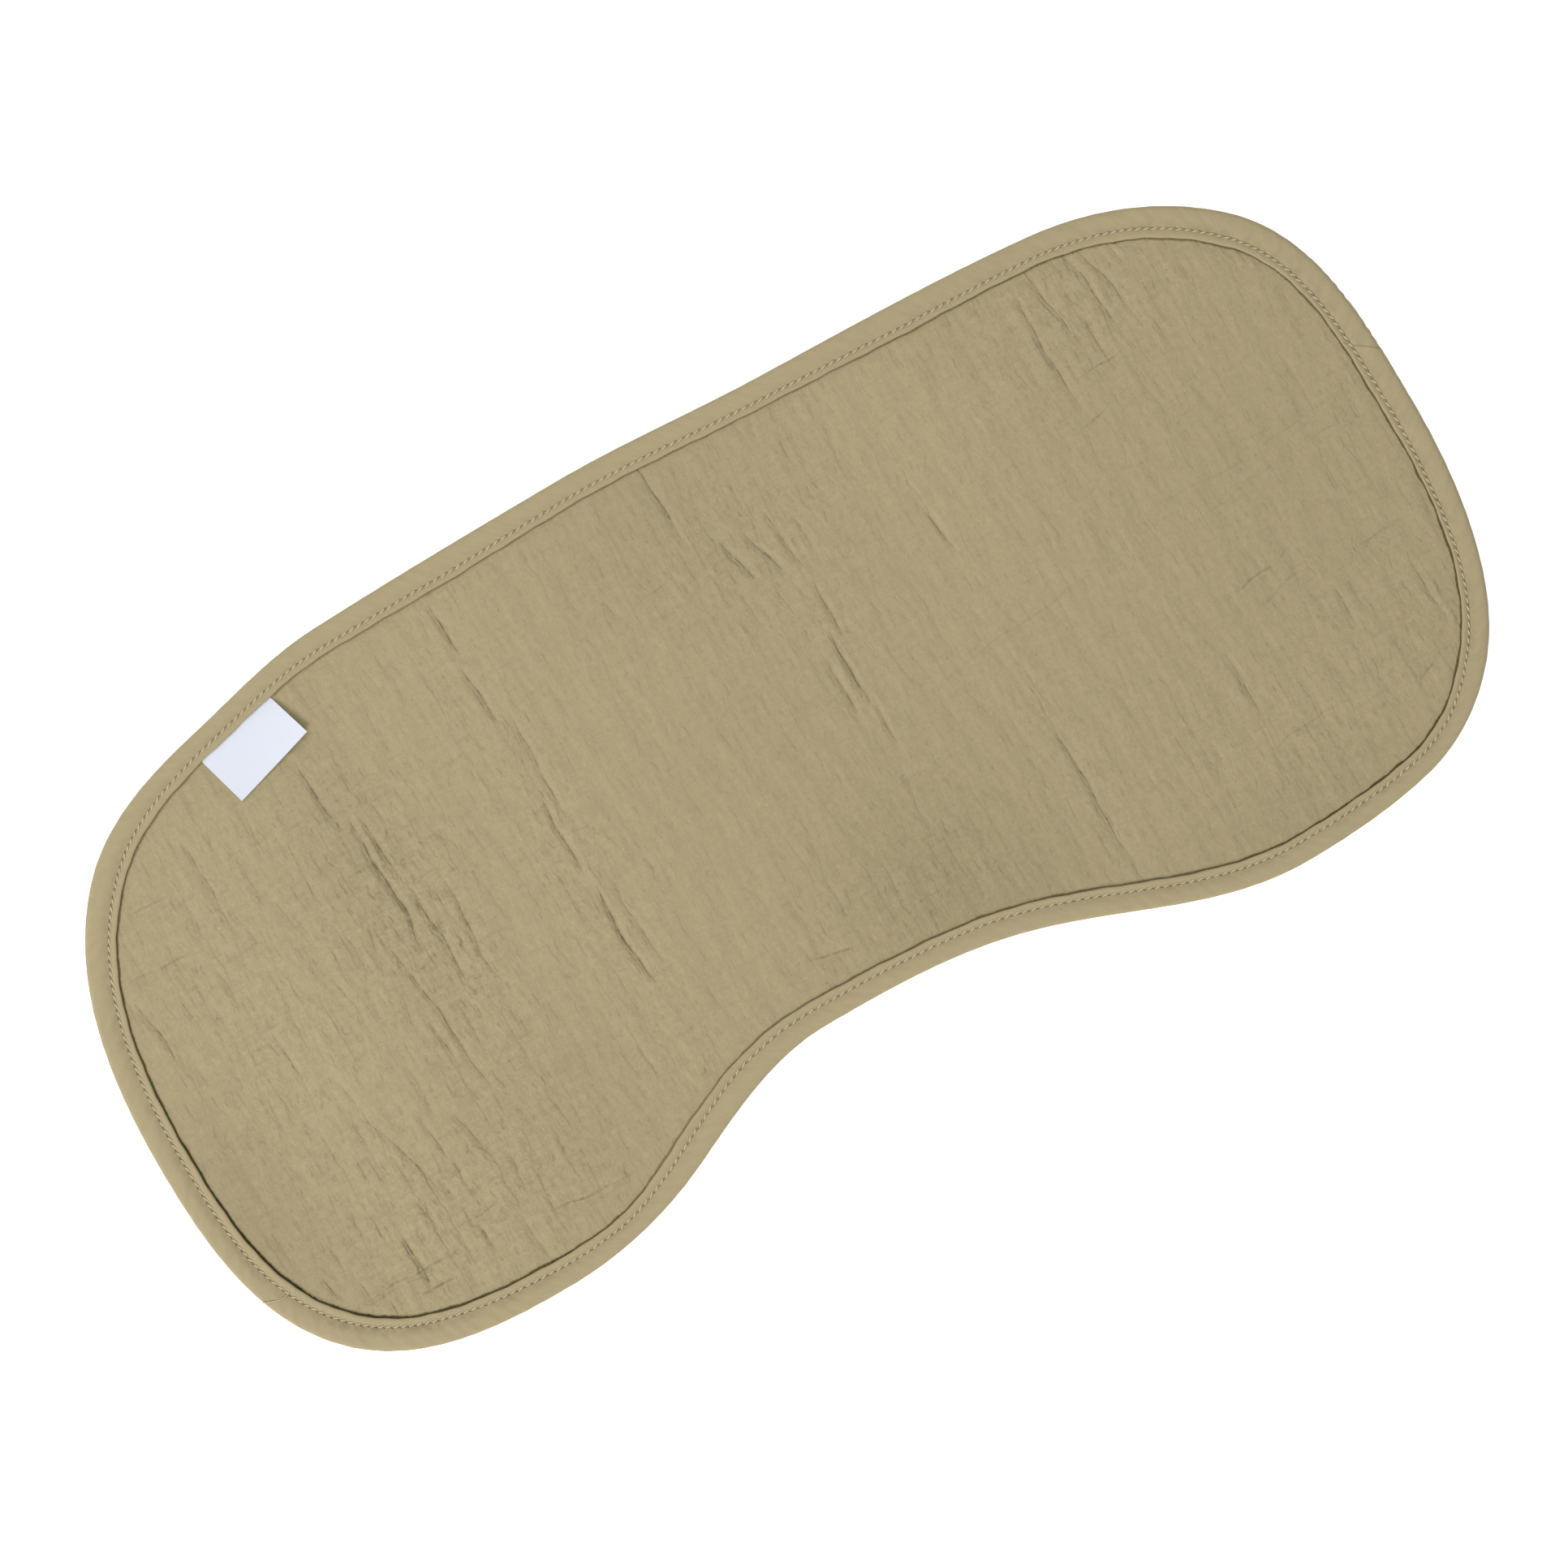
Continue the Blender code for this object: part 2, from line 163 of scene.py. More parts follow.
def edgeAt(walk, inset):
    # points at a walk along the cut edge, set in from it
    walk = np.mod(walk, edgeLength)
    x, y, inwardX, inwardY = (np.interp(walk, edgeWalk, column) for column in edgeRows.T)
    return np.column_stack((x + inset * inwardX, y + inset * inwardY))


def nearestEdge(points):
    # how far in from the cut edge each point lies, and its walk
    found = [edgeTree.find((x, y, 0.0)) for x, y in points]
    return np.array([hit[2] for hit in found]), edgeWalk[[hit[1] for hit in found]]


def roundEdge(walk, table, column):
    # a column of a table of places, read all the way round
    walks = [walkTo(row[0]) for row in table]
    values = [row[column] for row in table]
    return np.interp(np.mod(walk, edgeLength), walks + [edgeLength], values + values[:1])


def alongSeam(walk, column):
    # a column of the seam's table, with its values half-way between the places
    starts = np.array([walkTo(row[0]) for row in seamLine] + [edgeLength])
    middles = (starts[:-1] + starts[1:]) / 2
    walks = np.ravel(np.column_stack((starts[:-1], middles)))
    values = np.ravel([(row[column], row[column + 2]) for row in seamLine])
    return np.interp(np.mod(walk, edgeLength), np.append(walks, edgeLength), np.append(values, values[0]))


def stitchInset(walk):
    return alongSeam(walk, 1)


def bindingWidth(walk):
    wander = 0.10 * roundWave(walk, 67, 0.6) + 0.06 * roundWave(walk, 151, 0.1)
    return alongSeam(walk, 2) + wander


def smoothStep(low, high, value):
    t = np.clip((value - low) / (high - low), 0.0, 1.0)
    return t * t * (3.0 - 2.0 * t)


def roundWave(walk, count, shift):
    # a wave that closes on itself after the whole walk
    return np.sin(math.tau * (count * walk / edgeLength + shift))


# node helpers and the effects that several materials share


def addNode(tree, kind, inputs=None, **settings):
    node = tree.nodes.new(kind)
    for name, value in settings.items():
        setattr(node, name, value)
    for name, value in (inputs or {}).items():
        if isinstance(value, bpy.types.NodeSocket):
            tree.links.new(value, node.inputs[name])
        else:
            node.inputs[name].default_value = value
    return node


def mathNode(tree, operation, first, second=0.0, third=0.0):
    node = addNode(tree, "ShaderNodeMath", {0: first, 1: second, 2: third}, operation=operation)
    return node.outputs[0]


def scaled(tree, vector, x, y, z=1.0, turn=0.0):
    node = addNode(tree, "ShaderNodeMapping", {"Vector": vector, "Scale": (x, y, z)})
    node.inputs["Rotation"].default_value = (0.0, 0.0, math.radians(turn))
    return node.outputs["Vector"]


def noiseValue(tree, vector, detail=2.0, roughness=0.5, distortion=0.0, shift=0.0):
    offset = (shift, shift * 0.7, shift * 0.3)
    moved = addNode(tree, "ShaderNodeVectorMath", {0: vector, 1: offset}, operation="ADD")
    node = addNode(tree, "ShaderNodeTexNoise", {
        "Vector": moved.outputs[0],
        "Scale": 1.0,
        "Detail": detail,
        "Roughness": roughness,
        "Distortion": distortion,
    })
    return node.outputs[0]


def centredNoise(tree, vector, detail=2.0, roughness=0.5, shift=0.0):
    # the same noise, about nought
    return mathNode(tree, "SUBTRACT", noiseValue(tree, vector, detail, roughness, 0.0, shift), 0.5)


def ramp(tree, value, low, high, toLow=0.0, toHigh=1.0):
    node = addNode(tree, "ShaderNodeMapRange", {
        "Value": value, "From Min": low, "From Max": high, "To Min": toLow, "To Max": toHigh,
    }, interpolation_type="SMOOTHSTEP")
    return node.outputs["Result"]


def startGroup(name, inputs, outputs):
    tree = bpy.data.node_groups.new(name, "ShaderNodeTree")
    for label, kind, value in inputs:
        socket = tree.interface.new_socket(label, in_out="INPUT", socket_type=kind)
        if value is not None:
            socket.default_value = value
    for label, kind in outputs:
        tree.interface.new_socket(label, in_out="OUTPUT", socket_type=kind)
    return tree, tree.nodes.new("NodeGroupInput").outputs, tree.nodes.new("NodeGroupOutput").inputs


def useGroup(tree, group, **inputs):
    node = tree.nodes.new("ShaderNodeGroup")
    node.node_tree = group
    for name, value in inputs.items():
        socket = node.inputs[name[0].upper() + name[1:]]
        if isinstance(value, bpy.types.NodeSocket):
            tree.links.new(value, socket)
        else:
            socket.default_value = value
    return node.outputs


def buildWeave():
    # plain weave: two sets of threads, each uneven in thickness, going over and under
    tree, given, out = startGroup(
        "plainWeave",
        (
            ("Vector", "NodeSocketVector", None),
            ("Pitch", "NodeSocketFloat", 0.5),
            ("Slub", "NodeSocketFloat", 0.5),
        ),
        (("Height", "NodeSocketFloat"), ("Shade", "NodeSocketFloat")),
    )
    pitch = mathNode(tree, "DIVIDE", 1.0, given["Pitch"])
    threads = addNode(tree, "ShaderNodeVectorMath", {0: given["Vector"]}, operation="SCALE")
    tree.links.new(pitch, threads.inputs["Scale"])
    wobble = mathNode(tree, "MULTIPLY", centredNoise(tree, scaled(tree, given["Vector"], 0.35, 0.35)), 2.2)
    split = addNode(tree, "ShaderNodeSeparateXYZ", {0: threads.outputs[0]}).outputs
    warp, weft = (
        mathNode(tree, "SINE", mathNode(tree, "MULTIPLY", mathNode(tree, "ADD", axis, wobble), math.pi))
        for axis in split[:2]
    )
    overUnder = mathNode(tree, "MULTIPLY", warp, weft)
    slubs = centredNoise(tree, scaled(tree, given["Vector"], 2.4, 0.5), 3.0, 0.6)
    slubs = mathNode(tree, "MULTIPLY", slubs, given["Slub"])
    height = mathNode(tree, "MULTIPLY_ADD", overUnder, 0.35, slubs)
    tree.links.new(height, out["Height"])
    tree.links.new(mathNode(tree, "MULTIPLY_ADD", height, 0.5, 0.5), out["Shade"])
    return tree


def buildCreaseLine():
    # masks for a thin dark line where a stored distance crosses nought, and for a lighter band a little to
    # each side of it
    tree, given, out = startGroup(
        "creaseLine",
        (
            ("Side", "NodeSocketFloat", 0.0),
            ("Strength", "NodeSocketFloat", 0.0),
            ("Width", "NodeSocketFloat", 0.3),
        ),
        (("Line", "NodeSocketFloat"), ("Shoulder", "NodeSocketFloat")),
    )
    away = mathNode(tree, "ABSOLUTE", given["Side"])
    share = mathNode(tree, "DIVIDE", away, given["Width"])
    line = mathNode(tree, "MULTIPLY", ramp(tree, share, 0.2, 1.0, 1.0, 0.0), given["Strength"])
    offShoulder = mathNode(tree, "ABSOLUTE", mathNode(tree, "SUBTRACT", share, 2.4))
    shoulder = mathNode(tree, "MULTIPLY", ramp(tree, offShoulder, 0.0, 1.4, 1.0, 0.0), given["Strength"])
    tree.links.new(line, out["Line"])
    tree.links.new(shoulder, out["Shoulder"])
    return tree


def buildClothTone():
    # the dyed cloth's colour: broad cloudiness, fine mottling and specks, then whatever shade it is given
    tree, given, out = startGroup(
        "clothTone",
        (
            ("Vector", "NodeSocketVector", None),
            ("Colour", "NodeSocketColor", (0.4, 0.33, 0.2, 1.0)),
            ("Shade", "NodeSocketFloat", 0.0),
            ("Cloud", "NodeSocketFloat", 0.05),
            ("Mottle", "NodeSocketFloat", 0.05),
            ("Specks", "NodeSocketFloat", 0.0),
        ),
        (("Colour", "NodeSocketColor"), ("Brightness", "NodeSocketFloat")),
    )
    cloud = centredNoise(tree, scaled(tree, given["Vector"], 0.018, 0.018))
    cloud = mathNode(tree, "MULTIPLY", cloud, given["Cloud"])
    mottle = centredNoise(tree, scaled(tree, given["Vector"], 1.1, 0.75), 3.0, 0.7)
    mottle = mathNode(tree, "MULTIPLY", mottle, given["Mottle"])
    cells = addNode(tree, "ShaderNodeTexVoronoi", {"Vector": given["Vector"], "Scale": 0.22})
    speck = ramp(tree, cells.outputs["Distance"], 0.05, 0.13, 1.0, 0.0)
    kind = addNode(tree, "ShaderNodeSeparateXYZ", {0: cells.outputs["Color"]}).outputs[0]
    kind = mathNode(tree, "SUBTRACT", kind, 0.55)
    speck = mathNode(tree, "MULTIPLY", mathNode(tree, "MULTIPLY", speck, kind), given["Specks"])
    light = mathNode(tree, "ADD", mathNode(tree, "ADD", cloud, mottle), 1.0)
    light = mathNode(tree, "ADD", light, speck)
    light = mathNode(tree, "SUBTRACT", light, given["Shade"])
    tone = addNode(tree, "ShaderNodeVectorMath", {0: given["Colour"]}, operation="SCALE")
    tree.links.new(light, tone.inputs["Scale"])
    deeper = ramp(tree, light, 0.2, 0.95, 1.3, 1.0)
    deeper = addNode(tree, "ShaderNodeHueSaturation", {"Saturation": deeper, "Color": tone.outputs[0]})
    tree.links.new(deeper.outputs[0], out["Colour"])
    tree.links.new(light, out["Brightness"])
    return tree


def buildWanderingLines():
    # thin open lines that run up the cloth, a few millimetres apart, each in short broken runs
    tree, given, out = startGroup(
        "wanderingLines",
        (
            ("Vector", "NodeSocketVector", None),
            ("Pitch", "NodeSocketFloat", 3.0),
            ("Wander", "NodeSocketFloat", 2.0),
            ("Run", "NodeSocketFloat", 8.0),
            ("Cover", "NodeSocketFloat", 0.5),
        ),
        (("Line", "NodeSocketFloat"),),
    )
    sway = centredNoise(tree, scaled(tree, given["Vector"], 0.10, 0.09), 3.0, 0.6, 71.0)
    sway = mathNode(tree, "MULTIPLY", sway, given["Wander"])
    split = addNode(tree, "ShaderNodeSeparateXYZ", {0: given["Vector"]}).outputs
    step = mathNode(tree, "DIVIDE", mathNode(tree, "MULTIPLY_ADD", sway, 3.0, split[0]), given["Pitch"])
    away = mathNode(tree, "ABSOLUTE", mathNode(tree, "SUBTRACT", mathNode(tree, "FRACT", step), 0.5))
    away = mathNode(tree, "MULTIPLY", away, given["Pitch"])
    cell = addNode(tree, "ShaderNodeCombineXYZ", {
        0: mathNode(tree, "MULTIPLY", mathNode(tree, "FLOOR", step), 3.7),
        1: mathNode(tree, "DIVIDE", split[1], given["Run"]),
    }).outputs[0]
    run = noiseValue(tree, cell, 1.0, 0.5, 0.0, 43.0)
    margin = mathNode(tree, "ADD", given["Cover"], 0.10)
    shown = addNode(tree, "ShaderNodeMapRange", {
        "Value": run, "From Min": given["Cover"], "From Max": margin,
    }, interpolation_type="SMOOTHSTEP").outputs["Result"]
    line = mathNode(tree, "MULTIPLY", ramp(tree, away, 0.05, 0.75, 1.0, 0.0), shown)
    tree.links.new(line, out["Line"])
    return tree


plainWeave = buildWeave()
wanderingLines = buildWanderingLines()
creaseLine = buildCreaseLine()
clothTone = buildClothTone()


def startMaterial(name, roughness, sheen=0.0, specular=0.5):
    material = bpy.data.materials.new(name)
    material.use_nodes = True
    tree = material.node_tree
    shader = tree.nodes["Principled BSDF"]
    shader.inputs["Roughness"].default_value = roughness
    shader.inputs["Sheen Weight"].default_value = sheen
    shader.inputs["Sheen Roughness"].default_value = 0.6
    shader.inputs["Specular IOR Level"].default_value = specular
    return material, tree, shader


def objectMillimetres(tree):
    where = addNode(tree, "ShaderNodeTexCoord").outputs["Object"]
    return scaled(tree, where, 1 / mm, 1 / mm, 1 / mm)


def stored(tree, name):
    return addNode(tree, "ShaderNodeAttribute", attribute_name=name, attribute_type="GEOMETRY").outputs["Fac"]


def bumpInto(tree, shader, height, strength, depth):
    bump = addNode(tree, "ShaderNodeBump", {"Height": height, "Strength": strength, "Distance": depth * mm})
    tree.links.new(bump.outputs[0], shader.inputs["Normal"])


def finishPiece(name, bm, material, smooth=True):
    bmesh.ops.scale(bm, vec=(mm, mm, mm), verts=bm.verts)
    bmesh.ops.recalc_face_normals(bm, faces=bm.faces)
    mesh = bpy.data.meshes.new(name)
    bm.to_mesh(mesh)
    bm.free()
    if smooth:
        mesh.shade_smooth()
    mesh.materials.append(material)
    piece = bpy.data.objects.new(name, mesh)
    bpy.context.scene.collection.objects.link(piece)
    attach(piece, "root")
    print(f"{name}: {len(mesh.loop_triangles) or sum(len(p.vertices) - 2 for p in mesh.polygons)} triangles")
    return piece


def storeValues(piece, name, values):
    # per-vertex numbers for the first vertices; the rest stay at nought
    full = np.zeros(len(piece.data.vertices), dtype=np.float32)
    full[: len(values)] = values
    piece.data.attributes.new(name, "FLOAT", "POINT").data.foreach_set("value", full)


# the muslin panel

muslin = {
    "colour": (0.338, 0.280, 0.161, 1.0),
    "columns": 660,
    "rows": 120,
    "gridFrom": 7.8,  # the crinkled grid starts under the binding
    "endBow": 0.2,
    "rimTop": 2.3,
    "rimUnder": 1.3,
    "rimFrom": 2.3,
    "pastLip": 0.3,
    "comesDownIn": 3.3,
    "underShare": 3,  # the underside's grid is that many times coarser
    "underRelief": 0.3,
    "pufflift": 0.25,
    "ribHeight": 0.10,
    "ribPitch": 13.0,
    "lowest": 1.25,
    "highest": 3.1,
    "creaseDepth": 0.95,
    "creaseHalfWidth": 0.85,
    "troughShare": 0.50,
    "troughHalfWidth": 2.3,
    "smallCreases": 1500,
    "smallFolds": 420,
    "creasesApart": 2.6,
    "foldsApart": 4.0,
    "seed": 7,
    "lineShade": 0.34,
    "softShade": 0.08,
    "gapShade": 0.75,
    "bumpDepth": 0.35,
}

# broad swells of the cloth
swells = (
    # height, x wave, y wave
    (0.10, 132, 240),
    (0.08, -175, 130),
    (0.05, 74, -95),
)

# pinched creases straight across the cloth, each listed
mainCreases = (
    # strength, then the points that it runs through
    (1.0, (-134.5, 57), (-133.5, 20), (-135.5, 5)),
    (0.9, (-140.5, 84), (-138.5, 55)),
    (0.9, (-130, 56), (-130, 30)),
    (0.9, (-128.5, 25), (-127, 0), (-127.5, -11)),
    (0.8, (-73.5, 107), (-73.5, 85)),
    (0.9, (-75, 82), (-74, 60)),
    (0.9, (-74.5, 30), (-74.5, 2)),
    (1.2, (-73.5, -5), (-74.2, -20), (-73, -42)),
    (0.9, (22, 75), (27, 57)),
    (0.9, (31, 73), (36, 55)),
    (0.9, (39, 30), (38.5, 0)),
    (0.6, (170, 108), (174.5, 90), (177, 66)),
    (0.5, (176, 102), (181, 88), (183, 70)),
    (0.5, (186.5, 98), (189, 86)),
    (0.9, (-229, 41), (-227, 30), (-226.5, 15)),
    (0.9, (-191, -72), (-190, -95)),
    (0.6, (-116, 24), (-118.5, -5), (-117, -18)),
    (0.7, (-145, 15), (-143, 5), (-141, -15), (-139, -45)),
    (0.5, (-145.5, -15), (-144, -35)),
    (0.5, (-69, 62), (-70, 20)),
    (0.5, (-68, -5), (-67, -40)),
    (0.6, (-22, 77), (-20.5, 70)),
    (0.8, (10.5, 112), (11.5, 107), (11.5, 80)),
    (0.6, (40, 78), (43, 52)),
    (0.6, (43.5, 48), (42, 25)),
    (0.6, (33.5, 22), (33.5, 0)),
    (0.6, (40, 0), (40, -15)),
    (0.6, (88, 50), (90, 30)),
    (0.6, (88, -40), (88.6, -65), (87.5, -90)),
    (0.6, (158, 105), (162, 70)),
    (0.6, (151, 95), (151, 50)),
    (0.5, (-215, 37), (-214.5, 25)),
    (0.5, (-199, 37), (-198.5, 20)),
    (0.6, (-187, 78), (-187, 45)),
    (0.6, (-194, 8), (-192, -12)),
    (0.6, (-181, -33), (-170, -70)),
    (0.6, (-170, -63), (-168.5, -72)),
    (0.5, (-165, -40), (-163.5, -60)),
    (0.6, (-155, -45), (-150, -70)),
    (0.5, (-221.5, -72), (-220, -82)),
    (0.5, (-211, -80), (-210, -90)),
    (0.5, (-205, -90), (-205, -97)),
    (0.6, (195, -45), (194.5, -60)),
    (0.5, (200, -45), (200, -55)),
    (0.6, (222, -50), (222, -75)),
    (0.6, (152, -45), (151, -70)),
)

# folds that run along the cloth
mainFolds = (
    # strength, then the points that it runs through
    (1.0, (-218, -88), (-196, -87), (-175, -88)),
    (0.9, (-195, -94.5), (-181, -96)),
    (0.9, (-142, -93), (-128, -94), (-111, -96)),
    (0.9, (-23, -64), (-8, -68)),
    (0.6, (-178, -82), (-155, -80)),
    (0.5, (-215, 67), (-200, 66)),
    (0.6, (-227, 48), (-200, 44)),
    (0.5, (-13, 70), (4, 73)),
    (0.7, (160, -31), (190, -25)),
    (0.7, (168, -38), (188, -34)),
    (0.6, (203, -38), (226, -36)),
    (0.6, (150, -82), (175, -79)),
    (0.6, (203, -87), (215, -83)),
    (0.6, (147, 45), (163, 48)),
    (0.6, (155, 60), (176, 62)),
    (0.3, (55, -5), (100, -1), (140, 2)),
    (0.3, (100, 75), (130, 80)),
    (0.3, (20, -30), (60, -25)),
    (0.3, (150, -3), (200, 2), (238, 4)),
    (0.3, (152, 10), (196, 8), (236, 14)),
)

# where the small creases gather
crinkledSpots = (
    # x, y, reach in x, reach in y, how much more there
    (-130, 15, 22, 60, 1.6),
    (-190, 10, 40, 75, 1.0),
    (-165, -80, 50, 30, 1.4),
    (-75, 0, 15, 90, 0.9),
    (30, 70, 36, 28, 0.7),
    (40, 20, 14, 30, 0.5),
    (15, -62, 45, 20, 0.7),
    (165, 85, 36, 28, 1.0),
    (160, -78, 45, 26, 0.6),
    (215, -60, 20, 30, 0.5),
    (88, -60, 8, 50, 0.4),
    (232, 20, 10, 50, 0.3),
)


def crinkleAt(x, y):
    # how crinkled the cloth is, from 1 in its quiet parts to about 3
    amount = 1.0 + 0.0 * x
    for spotX, spotY, reachX, reachY, more in crinkledSpots:
        amount = amount + more * np.exp(-(((x - spotX) / reachX) ** 2) - ((y - spotY) / reachY) ** 2)
    return amount


# broad patches of painted light and shade, standing in for the cloth's gentle tilts under the light
broadShadeSpots = (
    # x, y, reach in x, reach in y, how much darker
    (-138, 45, 16, 55, 0.05),
    (-112, -60, 22, 32, 0.05),
    (-235, -55, 18, 45, 0.10),
    (5, 92, 32, 24, 0.05),
    (30, -62, 34, 34, 0.12),
    (60, -82, 20, 14, 0.06),
    (20, 0, 40, 50, 0.02),
    (92, 70, 22, 50, -0.045),
    (-75, 20, 35, 80, -0.02),
    (-184, -20, 22, 60, -0.04),
    (150, -102, 45, 15, 0.07),
    (200, -20, 50, 60, 0.03),
    (200, 70, 50, 30, -0.01),
)


def broadShadeAt(x, y):
    return sum(
        more * np.exp(-(((x - spotX) / reachX) ** 2) - ((y - spotY) / reachY) ** 2)
        for spotX, spotY, reachX, reachY, more in broadShadeSpots
    )


def smallLines(count, shortest, longest, weakest, strongest, across, random):
    # seeded short creases, more of them where the cloth is crinkled
    lines = []
    while len(lines) < count:
        x, y = random.uniform(-240, 240), random.uniform(-112, 112)
        amount = crinkleAt(x, y) / 2.6
        if random.random() > amount:
            continue
        length = shortest + (longest - shortest) * random.random() ** 2.2
        lean = random.normal(0.0, 0.045) * length
        strength = amount * random.uniform(weakest, strongest)
        if across:
            lines.append((strength, (x - lean, y - length / 2), (x, y), (x + lean, y + length / 2)))
        else:
            lines.append((strength, (x - length / 2, y - lean), (x, y), (x + length / 2, y + lean)))
    return lines


class Creases:
    # adds pinched lines to a field of heights, and keeps each point's distance to the nearest
    def __init__(self, main, side, reach):
        self.main, self.side, self.reach = main, side, reach
        self.order = np.argsort(side)
        self.sortedSide = side[self.order]
        self.relief = np.zeros(len(main))
        self.away = np.full(len(main), 2.0 * reach)
        self.strength = np.zeros(len(main))

    def pinch(self, line, wander, random, apart=0.0):
        # main runs along the crease, side across it; one that comes too near another is left out
        strength, *places = line
        places = sorted(places)
        mains = np.array([p[0] for p in places])
        sides = np.array([p[1] for p in places])
        margin = 2.2 * muslin["troughHalfWidth"]
        low, high = np.searchsorted(self.sortedSide, (sides.min() - margin, sides.max() + margin))
        near = self.order[low:high]
        near = near[(self.main[near] > mains[0]) & (self.main[near] < mains[-1])]
        if not len(near):
            return
        share = (self.main[near] - mains[0]) / (mains[-1] - mains[0])
        phase = random.uniform(0.0, math.tau, 2)
        length = mains[-1] - mains[0]
        main = self.main[near]
        drift = wander * (np.sin(main / 5.5 + phase[0]) + 0.6 * np.sin(main / 2.3 + phase[1]))
        drift *= min(1.0, length / 25.0)
        away = self.side[near] - np.interp(self.main[near], mains, sides) - drift
        taper = np.sqrt(np.clip(np.sin(math.pi * share), 0.0, 1.0)) * strength
        if apart and self.strength[near[np.abs(away) < apart]].max(initial=0.0) > 0.0:
            return
        depth = muslin["creaseDepth"] * taper
        narrow = np.exp(-((away / muslin["creaseHalfWidth"]) ** 2))
        broad = np.exp(-((away / muslin["troughHalfWidth"]) ** 2))
        shoulder = np.exp(-((np.abs(away) - 2.0) ** 2) / 0.8)
        self.relief[near] -= depth * (
            (1.0 - muslin["troughShare"]) * narrow + muslin["troughShare"] * broad - 0.2 * shoulder
        )
        closer = np.abs(away) < np.abs(self.away[near])
        limit = 1.2 * self.reach
        self.away[near] = np.where(closer, np.clip(away, -limit, limit), self.away[near])
        fade = np.clip(1.0 - np.abs(away) / self.reach, 0.0, 1.0) * taper
        self.strength[near] = np.where(closer, fade, self.strength[near])


def swap(line):
    return (line[0], *((y, x) for x, y in line[1:]))


def longSide(startPlace, endPlace, columns, inset):
    # walks along one long side, stepped evenly in x
    walks = np.linspace(walkTo(startPlace), walkTo(endPlace), 400)
    xs = edgeAt(walks, inset)[:, 0]
    wanted = np.linspace(xs[0], xs[-1], columns + 1)
    order = np.argsort(xs)
    return np.interp(wanted, xs[order], walks[order])


def shortSide(startPlace, endPlace, rows):
    start, end = walkTo(startPlace), walkTo(endPlace)
    if end < start:
        start -= edgeLength
    return np.linspace(start, end, rows + 1)


def bendGrid(verts, columns, rows, inset):
    # the flat grid takes the cloth's outline; returns the points and the walk of those on its rim
    lowWalk = longSide("lower left corner", "lower right corner", columns, muslin["gridFrom"])
    highWalk = longSide("upper right corner", "upper left corner", columns, muslin["gridFrom"])[::-1]
    leftWalk = shortSide("upper left corner", "lower left corner", rows)[::-1]
    rightWalk = shortSide("lower right corner", "upper right corner", rows)
    low, high, left, right = (edgeAt(walks, inset) for walks in (lowWalk, highWalk, leftWalk, rightWalk))
    flat = np.array([vert.co[:2] for vert in verts]) + 0.5
    u, v = flat[:, :1], flat[:, 1:]
    column = np.rint(flat[:, 0] * columns).astype(int)
    row = np.rint(flat[:, 1] * rows).astype(int)
    bowLeft = left[row] - ((1 - v) * low[0] + v * high[0])
    bowRight = right[row] - ((1 - v) * low[-1] + v * high[-1])
    points = (1 - v) * low[column] + v * high[column]
    points += bowLeft * np.maximum(0.0, 1 - u / muslin["endBow"]) ** 2
    points += bowRight * np.maximum(0.0, 1 - (1 - u) / muslin["endBow"]) ** 2
    walks = np.where(column == 0, leftWalk[row], rightWalk[row])
    walks = np.where(row == 0, lowWalk[column], np.where(row == rows, highWalk[column], walks))
    return points, walks


def growRing(bm, rim):
    grown = bmesh.ops.extrude_edge_only(bm, edges=rim)["geom"]
    verts = [item for item in grown if isinstance(item, bmesh.types.BMVert)]
    ring = set(verts)
    edges = [item for item in grown if isinstance(item, bmesh.types.BMEdge) and ring.issuperset(item.verts)]
    return verts, edges


def labelNearness(points):
    # one under the label and close round it, nought well away
    corner = np.array((label["freeLeft"], label["freeRight"]))
    sewn = np.array((labelSewn(0.0), labelSewn(1.0)))
    middle = (sewn.mean(axis=0) + corner.mean(axis=0)) / 2
    across = corner[1] - corner[0]
    width = np.hypot(*across)
    across = across / width
    down = np.array((across[1], -across[0]))
    height = (corner.mean(axis=0) - sewn.mean(axis=0)) @ down
    outside = np.maximum(
        np.abs((points - middle) @ across) - width / 2, np.abs((points - middle) @ down) - height / 2
    )
    return 1.0 - smoothStep(0.5, 4.0, outside)


